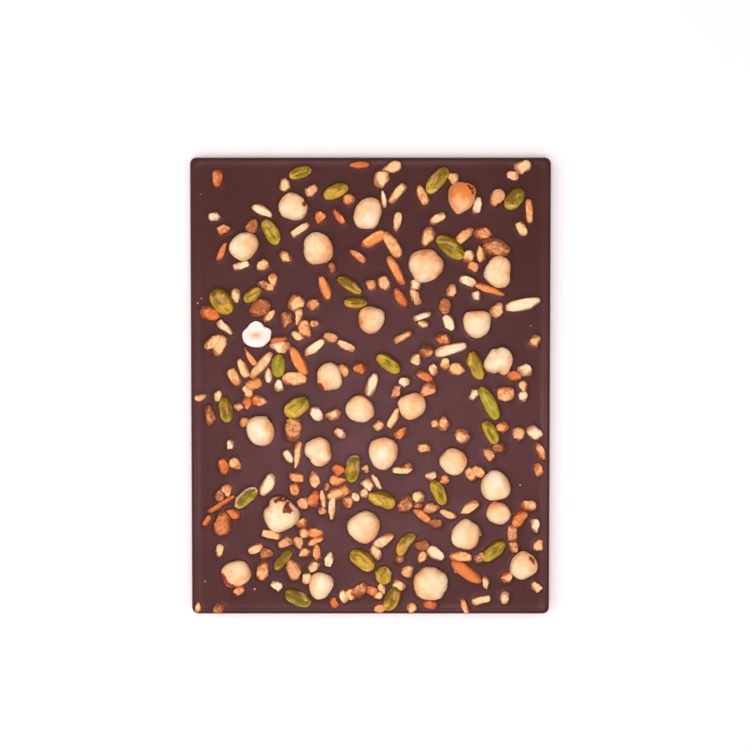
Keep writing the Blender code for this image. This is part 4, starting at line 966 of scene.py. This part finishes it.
chopped = {
    "sunk": 0.36,
    "thick": {"stick": 2.9, "slice": 2.6},     # millimetres
    "bitThick": 0.75,                          # against the width, for bits and crumbs
    "lean": {"stick": 3.5, "slice": 3.5, "bit": 7.0, "crumb": 7.0},    # at most, in degrees
    "fineness": {"stick": 4, "slice": 4, "bit": 4, "crumb": 2},
    "shapes": {            # how each kind is broken, with its roughness in millimetres
        "stick": {"Boxiness": 4.5, "Deepest Break": 0.86, "Fullness": 1.02, "Grain": 480.0,
                  "Roughness": 1.2},
        "slice": {"Boxiness": 3.0, "Deepest Break": 0.80, "Fullness": 1.05, "Grain": 420.0,
                  "Roughness": 1.1},
        "bit": {"Boxiness": 2.6, "Deepest Break": 0.62, "Fullness": 1.13, "Grain": 560.0,
                "Roughness": 2.1},
    },
    "tones": {             # flesh from pale to browned, steep sides and rims in painted shade with some browning, share browned, how finely mottled
        "white": {
            "pale": (0.94, 0.75, 0.46), "browned": (0.86, 0.42, 0.17), "side": (0.46, 0.155, 0.058),
            "browning": 0.10, "speckled": 1.2,
        },
        "roasted": {
            "pale": (0.94, 0.63, 0.31), "browned": (0.80, 0.31, 0.10), "side": (0.34, 0.090, 0.027),
            "browning": 0.20, "speckled": 1.2,
        },
        "golden": {
            "pale": (0.93, 0.60, 0.27), "browned": (0.82, 0.27, 0.07), "side": (0.31, 0.075, 0.020),
            "browning": 0.25, "speckled": 1.2,
        },
        "toasted": {
            "pale": (0.94, 0.55, 0.24), "browned": (0.69, 0.175, 0.043), "side": (0.22, 0.040, 0.010),
            "browning": 0.24, "speckled": 1.2,
        },
        "skinned": {
            "pale": (0.78, 0.38, 0.165), "browned": (0.39, 0.118, 0.040), "side": (0.16, 0.037, 0.012),
            "browning": 0.22, "speckled": 2.6,
        },
    },
    "breaks": 9,
    "breakSoft": 0.02,
    "crustRange": (0.02, 0.16, 1.0, 0.0),      # away from the first break, from browned to plain
    "grainStep": 0.013,                        # from one nut to the next in the noise
    "seed": 7,
    "seedStep": 200,                           # from one piece to the next
    "finish": {
        "burnt": (0.62, 0.145, 0.026),
        "patchScale": 460.0,
        "grainScale": 850.0,
        "contrast": 0.42,                      # how softly pale turns to browned
        "rimShadeRange": (0.80, 1.12, 0.0, 0.8),    # painted shade with some browning, from a nut's middle out, and how much the side's tone covers
        "steepShadeRange": (0.32, 0.88, 0.9, 0.0),   # painted shade, from steep to level, and the same
        "bump": (0.85, 0.0004),
        "gloss": {"Roughness": 0.6, "Specular IOR Level": 0.25, "Subsurface Weight": 0.08,
                  "Subsurface Radius": (1.0, 0.5, 0.25), "Subsurface Scale": 0.0008},
    },
}


def makeChoppedFinish(tone):
    material, tree, place = newMaterial(tone + "Nut")
    look = {**chopped["finish"], **chopped["tones"][tone]}
    patches = noise(place, look["patchScale"], 4.0, 0.65)
    grain = noise(place, look["grainScale"], 4.0, 0.7)
    burnt = readAttribute(tree, "burnt")
    browned = readAttribute(tree, "shade") + patches * 2.2 + grain * look["speckled"]
    browned = browned + readAttribute(tree, "crust") * 0.7 + burnt * 0.4
    middle = 1.9 + look["speckled"] / 2 - look["browning"]
    share = spread(browned, middle - look["contrast"], middle + look["contrast"])
    colour = mix(burnt * 0.5, mix(share, look["pale"], look["browned"]), look["burnt"])
    x, y = split(readAttribute(tree, "ball", "Vector"))[:2]
    # Painted shade with some browning: rims and steep sides take the dark side tone.
    rim = spread((x * x + y * y).calc("SQRT") + grain * 0.3, *look["rimShadeRange"])
    steep = spread(readAttribute(tree, "up") + patches * 0.5, *look["steepShadeRange"])
    colour = mix(rim.calc("MAXIMUM", steep), colour, look["side"])
    finishSurface(tree, colour, look, grain + patches)
    return material


def choppedPoint(tree, given):
    ball = readVector(tree, "ball")
    number = readField(tree, "nut")
    nut = addNode(tree, "FunctionNodeFloatToInt", {"Float": number})
    reach = bluntReach(ball, given["Boxiness"])
    # Each break takes a flat slice off the piece, and the first one keeps its browned outside.
    limits = []
    for turn in range(chopped["breaks"]):
        facing = ball.calc("DOT_PRODUCT", randomDirection(nut, given["Seed"] + turn))
        depth = randomFloat(nut, given["Seed"] + (50 + turn), given["Deepest Break"])
        limits.append(depth / facing.calc("MAXIMUM", 0.05))
        reach = reach.calc("SMOOTH_MIN", limits[-1], chopped["breakSoft"])
    crust = spread(limits[0] - reach, *chopped["crustRange"])
    x, y, z = split(ball * reach)
    slim = 1.0 - readField(tree, "narrow") * (x * 0.5 + 0.5)
    point = join(x, y * slim, z) * readVector(tree, "half") * given["Fullness"]
    rough = noise(offsetByNut(point, number, chopped["grainStep"]), given["Grain"], 3.0, 0.6) - 0.5
    point = point + ball * (rough * given["Roughness"])
    return point, {"crust": crust, "shade": randomFloat(nut, given["Seed"] + 90)}


def choppedPoints(kind, places, rng):
    rows = []
    for number, (x, y, length, width, heading, narrow) in enumerate(places):
        height = chopped["thick"].get(kind, chopped["bitThick"] * width)
        lean = rng.uniform(-1.0, 1.0, 2) * math.radians(chopped["lean"][kind])
        rows.append(nutRow(
            number, x, y, (length, width, height), (*lean.tolist(), math.radians(heading)), chopped["sunk"],
            narrow=narrow, burnt=1.0 if (x, y) in burntPlaces else 0.0,
        ))
    return rows


def makeChoppedNuts():
    finishes = {tone: makeChoppedFinish(tone) for tone in chopped["tones"]}
    rng = np.random.default_rng(chopped["seed"])
    pieces = []
    for number, (name, (kind, tone, places)) in enumerate(choppedRows.items()):
        shape = chopped["shapes"]["bit" if kind == "crumb" else kind]
        inputs = {
            **shape, "Roughness": shape["Roughness"] * mm, "Fineness": chopped["fineness"][kind],
            "Seed": chopped["seed"] + chopped["seedStep"] * number, "Finish": finishes[tone],
        }
        if not pieces:
            tree = nutTree("choppedNuts", inputs, evenBall, choppedPoint)
        pieces.append(growNuts(name, choppedPoints(kind, places, rng), tree, inputs))
    return pieces


choppedPieces = makeChoppedNuts()
print("chopped nuts broken into", len(choppedPieces), "pieces")


def makeChocolateFinish():
    material, tree, place = newMaterial("darkChocolate")
    look = slab["finish"]
    colour = mix(spread(noise(place, 38.0, 3.0), 0.35, 0.65), look["dark"], look["light"])
    specks = spread(noise(place, 520.0, 2.0), 0.72, 0.80)
    colour = mix(specks * 0.5, colour, look["bloom"])
    roughness = spread(noise(place, 70.0, 5.0, 0.6), 0.3, 0.7, *look["roughness"])
    height = noise(place, 900.0, 4.0, 0.6) + noise(place, 160.0, 3.0) * 2.0
    gloss = {"Roughness": roughness, "Specular IOR Level": 0.3}
    finishSurface(tree, colour, {**look, "gloss": gloss}, height)
    return material


def castTree(inputs):
    # Lifts the chocolate where it climbs the nuts, and waves it slightly.
    tree, given = newTree("castSurface", inputs)
    place = addNode(tree, "GeometryNodeInputPosition")
    toppings = addNode(tree, "GeometryNodeCollectionInfo", {"Collection": given["Toppings"]})
    toppings = addNode(tree, "GeometryNodeRealizeInstances", {"Geometry": toppings})
    sample = {"Geometry": toppings, "Sample Position": place}
    away = addNode(tree, "GeometryNodeProximity", sample, "Distance", target_element="FACES")
    swell = (-away / given["Swell Wide"]).calc("EXPONENT") * given["Swell High"]
    wave = (noise(place, 1.0 / given["Wave Wide"], 2.0, 0.4) - 0.5) * given["Wave High"] * 2.0
    onTop = spread(split(place)[2], given["Surface"] - given["Shoulder"], given["Surface"])
    lifted = {"Geometry": given["Source"], "Offset": join(0.0, 0.0, (swell + wave) * onTop)}
    return endTree(addNode(tree, "GeometryNodeSetPosition", lifted), given)


def roundCorners(plan, halfWidth, halfLength):
    # Draws the square corners of a plan in to the corner radius.
    radius = slab["cornerRadius"]
    centre = np.array((halfWidth - radius, halfLength - radius))
    over = np.clip(np.abs(plan) - centre, 0.0, None)
    corner = (over > 1e-9).all(axis=1)
    shrink = np.ones(len(plan))
    shrink[corner] = over[corner].max(axis=1) / np.hypot(over[corner, 0], over[corner, 1])
    inside = np.minimum(np.abs(plan), centre)
    return np.sign(plan) * np.where(corner[:, None], inside + over * shrink[:, None], np.abs(plan))


def smoothEdge():
    # A smooth curve through the edge's points, from the rim's inner foot out and down to the base.
    given = np.array(slab["edge"][::-1])
    padded = np.vstack((2 * given[0] - given[1], given, 2 * given[-1] - given[-2]))
    curve = []
    for before, start, end, after in zip(padded, padded[1:], padded[2:], padded[3:]):
        for step in range(slab["edgeSteps"]):
            t = step / slab["edgeSteps"]
            bend = (2 * before - 5 * start + 4 * end - after) * t**2
            twist = (3 * start - before - 3 * end + after) * t**3
            curve.append(0.5 * (2 * start + (end - before) * t + bend + twist))
    curve.append(given[-1])
    return curve


def slabMesh():
    # A grid for the topped face, and rings from its border out over the rim and down to the base.
    halfWidth, halfLength = slab["width"] / 2, slab["length"] / 2
    rim = slab["edge"][-1][0]
    innerX, innerY = halfWidth - rim, halfLength - rim
    countX = round(2 * innerX / slab["gridStep"]) + 1
    countY = round(2 * innerY / slab["gridStep"]) + 1
    gridX, gridY = np.meshgrid(np.linspace(-innerX, innerX, countX), np.linspace(-innerY, innerY, countY))
    plan = np.column_stack((gridX.ravel(), gridY.ravel()))
    index = np.arange(countX * countY).reshape(countY, countX)
    quads = np.stack((index[:-1, :-1], index[:-1, 1:], index[1:, 1:], index[1:, :-1]), axis=-1)
    faces = quads.reshape(-1, 4).tolist()
    border = np.concatenate((index[0, :-1], index[:-1, -1], index[-1, :0:-1], index[:0:-1, 0]))
    points = [np.column_stack((roundCorners(plan, innerX, innerY), np.full(len(plan), slab["surface"])))]
    last = border
    for inset, height in smoothEdge()[1:]:
        outX, outY = halfWidth - inset, halfLength - inset
        ring = roundCorners(plan[border] * (outX / innerX, outY / innerY), outX, outY)
        fresh = sum(map(len, points)) + np.arange(len(ring))
        points.append(np.column_stack((ring, np.full(len(ring), height))))
        faces += np.stack((last, fresh, np.roll(fresh, -1), np.roll(last, -1)), axis=-1).tolist()
        last = fresh
    faces.append(last[::-1].tolist())
    mesh = bpy.data.meshes.new("chocolateSlab")
    mesh.from_pydata((np.vstack(points) * mm).tolist(), [], faces)
    return mesh


def makeSlab(toppings):
    piece = newObject("chocolateSlab", slabMesh())
    holder = bpy.data.collections.new("toppings")
    bpy.context.scene.collection.children.link(holder)
    for topping in toppings:
        holder.objects.link(topping)
    inputs = {
        "Toppings": holder, "Finish": makeChocolateFinish(),
        "Swell High": slab["swellHigh"] * mm, "Swell Wide": slab["swellWide"] * mm,
        "Wave High": slab["waveHigh"] * mm, "Wave Wide": slab["waveWide"] * mm,
        "Surface": slab["surface"] * mm, "Shoulder": slab["shoulder"] * mm,
    }
    runTree(piece, castTree(inputs), inputs)
    for topping in toppings:
        holder.objects.unlink(topping)
    bpy.data.collections.remove(holder)
    return piece


# The loose crumbs are too small for the chocolate to climb them.
slabPiece = makeSlab([hazelnuts, halfNut, kernels, *choppedPieces[:-1]])
print("slab cast")

hazelnutNodes = [f"hazelnut_{number:02d}" for number in range(1, len(hazelnutRows) + 1)]
pistachioNodes = [f"pistachio_{number:02d}" for number in range(1, len(pistachioRows) + 1)]
for piece, slot, nodes in (
    (slabPiece, "chocolate", ["slab"]),
    (hazelnuts, "hazelnut", hazelnutNodes),
    (halfNut, "hazelnut", ["hazelnut_cut"]),
    (kernels, "pistachio", pistachioNodes),
    *((choppedPiece, "chopped_nut", ["slab"]) for choppedPiece in choppedPieces),
):
    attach(piece, "root")
    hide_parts(*nodes)
print("pieces ride on their body")

# Floor and lights, in metres. A light is its place, size, power, colour and whether it shows as a sheen.
stage = {
    "floorHalf": 3.0,
    "floorDrop": 0.0002,
    "floorColour": (0.95, 0.95, 0.95),
    "floorRoughness": 0.9,
    "world": 0.22,
    "lights": {
        "overheadLight": ((-0.05, -0.05, 0.75), 1.20, 7.1, (0.98, 1.0, 0.99), False),
        "sheenLight": ((-0.003, -0.100, 0.75), 0.22, 1.45, (1.0, 0.50, 0.62), True),
        "leftLight": ((-0.70, 0.05, 0.60), 0.50, 0.9, (1.0, 1.0, 1.0), True),
    },
}


def makeFloor():
    half, drop = stage["floorHalf"], -stage["floorDrop"]
    mesh = bpy.data.meshes.new("floor")
    corners = [(-half, -half, drop), (half, -half, drop), (half, half, drop), (-half, half, drop)]
    mesh.from_pydata(corners, [], [(0, 1, 2, 3)])
    material = bpy.data.materials.new("paleFloor")
    material.use_nodes = True
    shader = material.node_tree.nodes["Principled BSDF"]
    shader.inputs["Base Color"].default_value = (*stage["floorColour"], 1.0)
    shader.inputs["Roughness"].default_value = stage["floorRoughness"]
    mesh.materials.append(material)
    newObject("floor", mesh)


def makeLights():
    world = bpy.data.worlds.new("paleRoom")
    world.use_nodes = True
    background = world.node_tree.nodes["Background"]
    background.inputs["Color"].default_value = (1.0, 1.0, 1.0, 1.0)
    background.inputs["Strength"].default_value = stage["world"]
    bpy.context.scene.world = world
    for name, (place, size, power, colour, shows) in stage["lights"].items():
        light = bpy.data.lights.new(name, "AREA")
        light.shape = "DISK"
        light.size = size
        light.energy = power
        light.color = colour
        lamp = newObject(name, light)
        lamp.location = place
        lamp.rotation_euler = (-Vector(place)).to_track_quat("-Z", "Y").to_euler()
        lamp.visible_glossy = shows


view = {
    "aim": (2.0, 5.4),         # slab point at the picture's middle, in millimetres
    "distance": 600.0,
    "tilt": 2.0,               # degrees that the camera leans toward the far edge
    "pictureWide": 337.5,      # how much of the slab's plane the picture spans, in millimetres
    "sensor": 36.0,
    "clip": (0.01, 20.0),      # metres
}


def makeCamera():
    data = bpy.data.cameras.new("camera")
    data.sensor_width = view["sensor"]
    data.lens = view["sensor"] * view["distance"] / view["pictureWide"]
    data.clip_start, data.clip_end = view["clip"]
    camera = newObject("camera", data)
    tilt = math.radians(view["tilt"])
    aim = Vector((*view["aim"], slab["surface"]))
    camera.location = (aim + view["distance"] * Vector((0.0, math.sin(tilt), math.cos(tilt)))) * mm
    camera.rotation_euler = (-tilt, 0.0, 0.0)
    bpy.context.scene.camera = camera


makeFloor()
makeLights()
makeCamera()
bpy.context.scene.view_settings.view_transform = "Standard"
print("stage set")
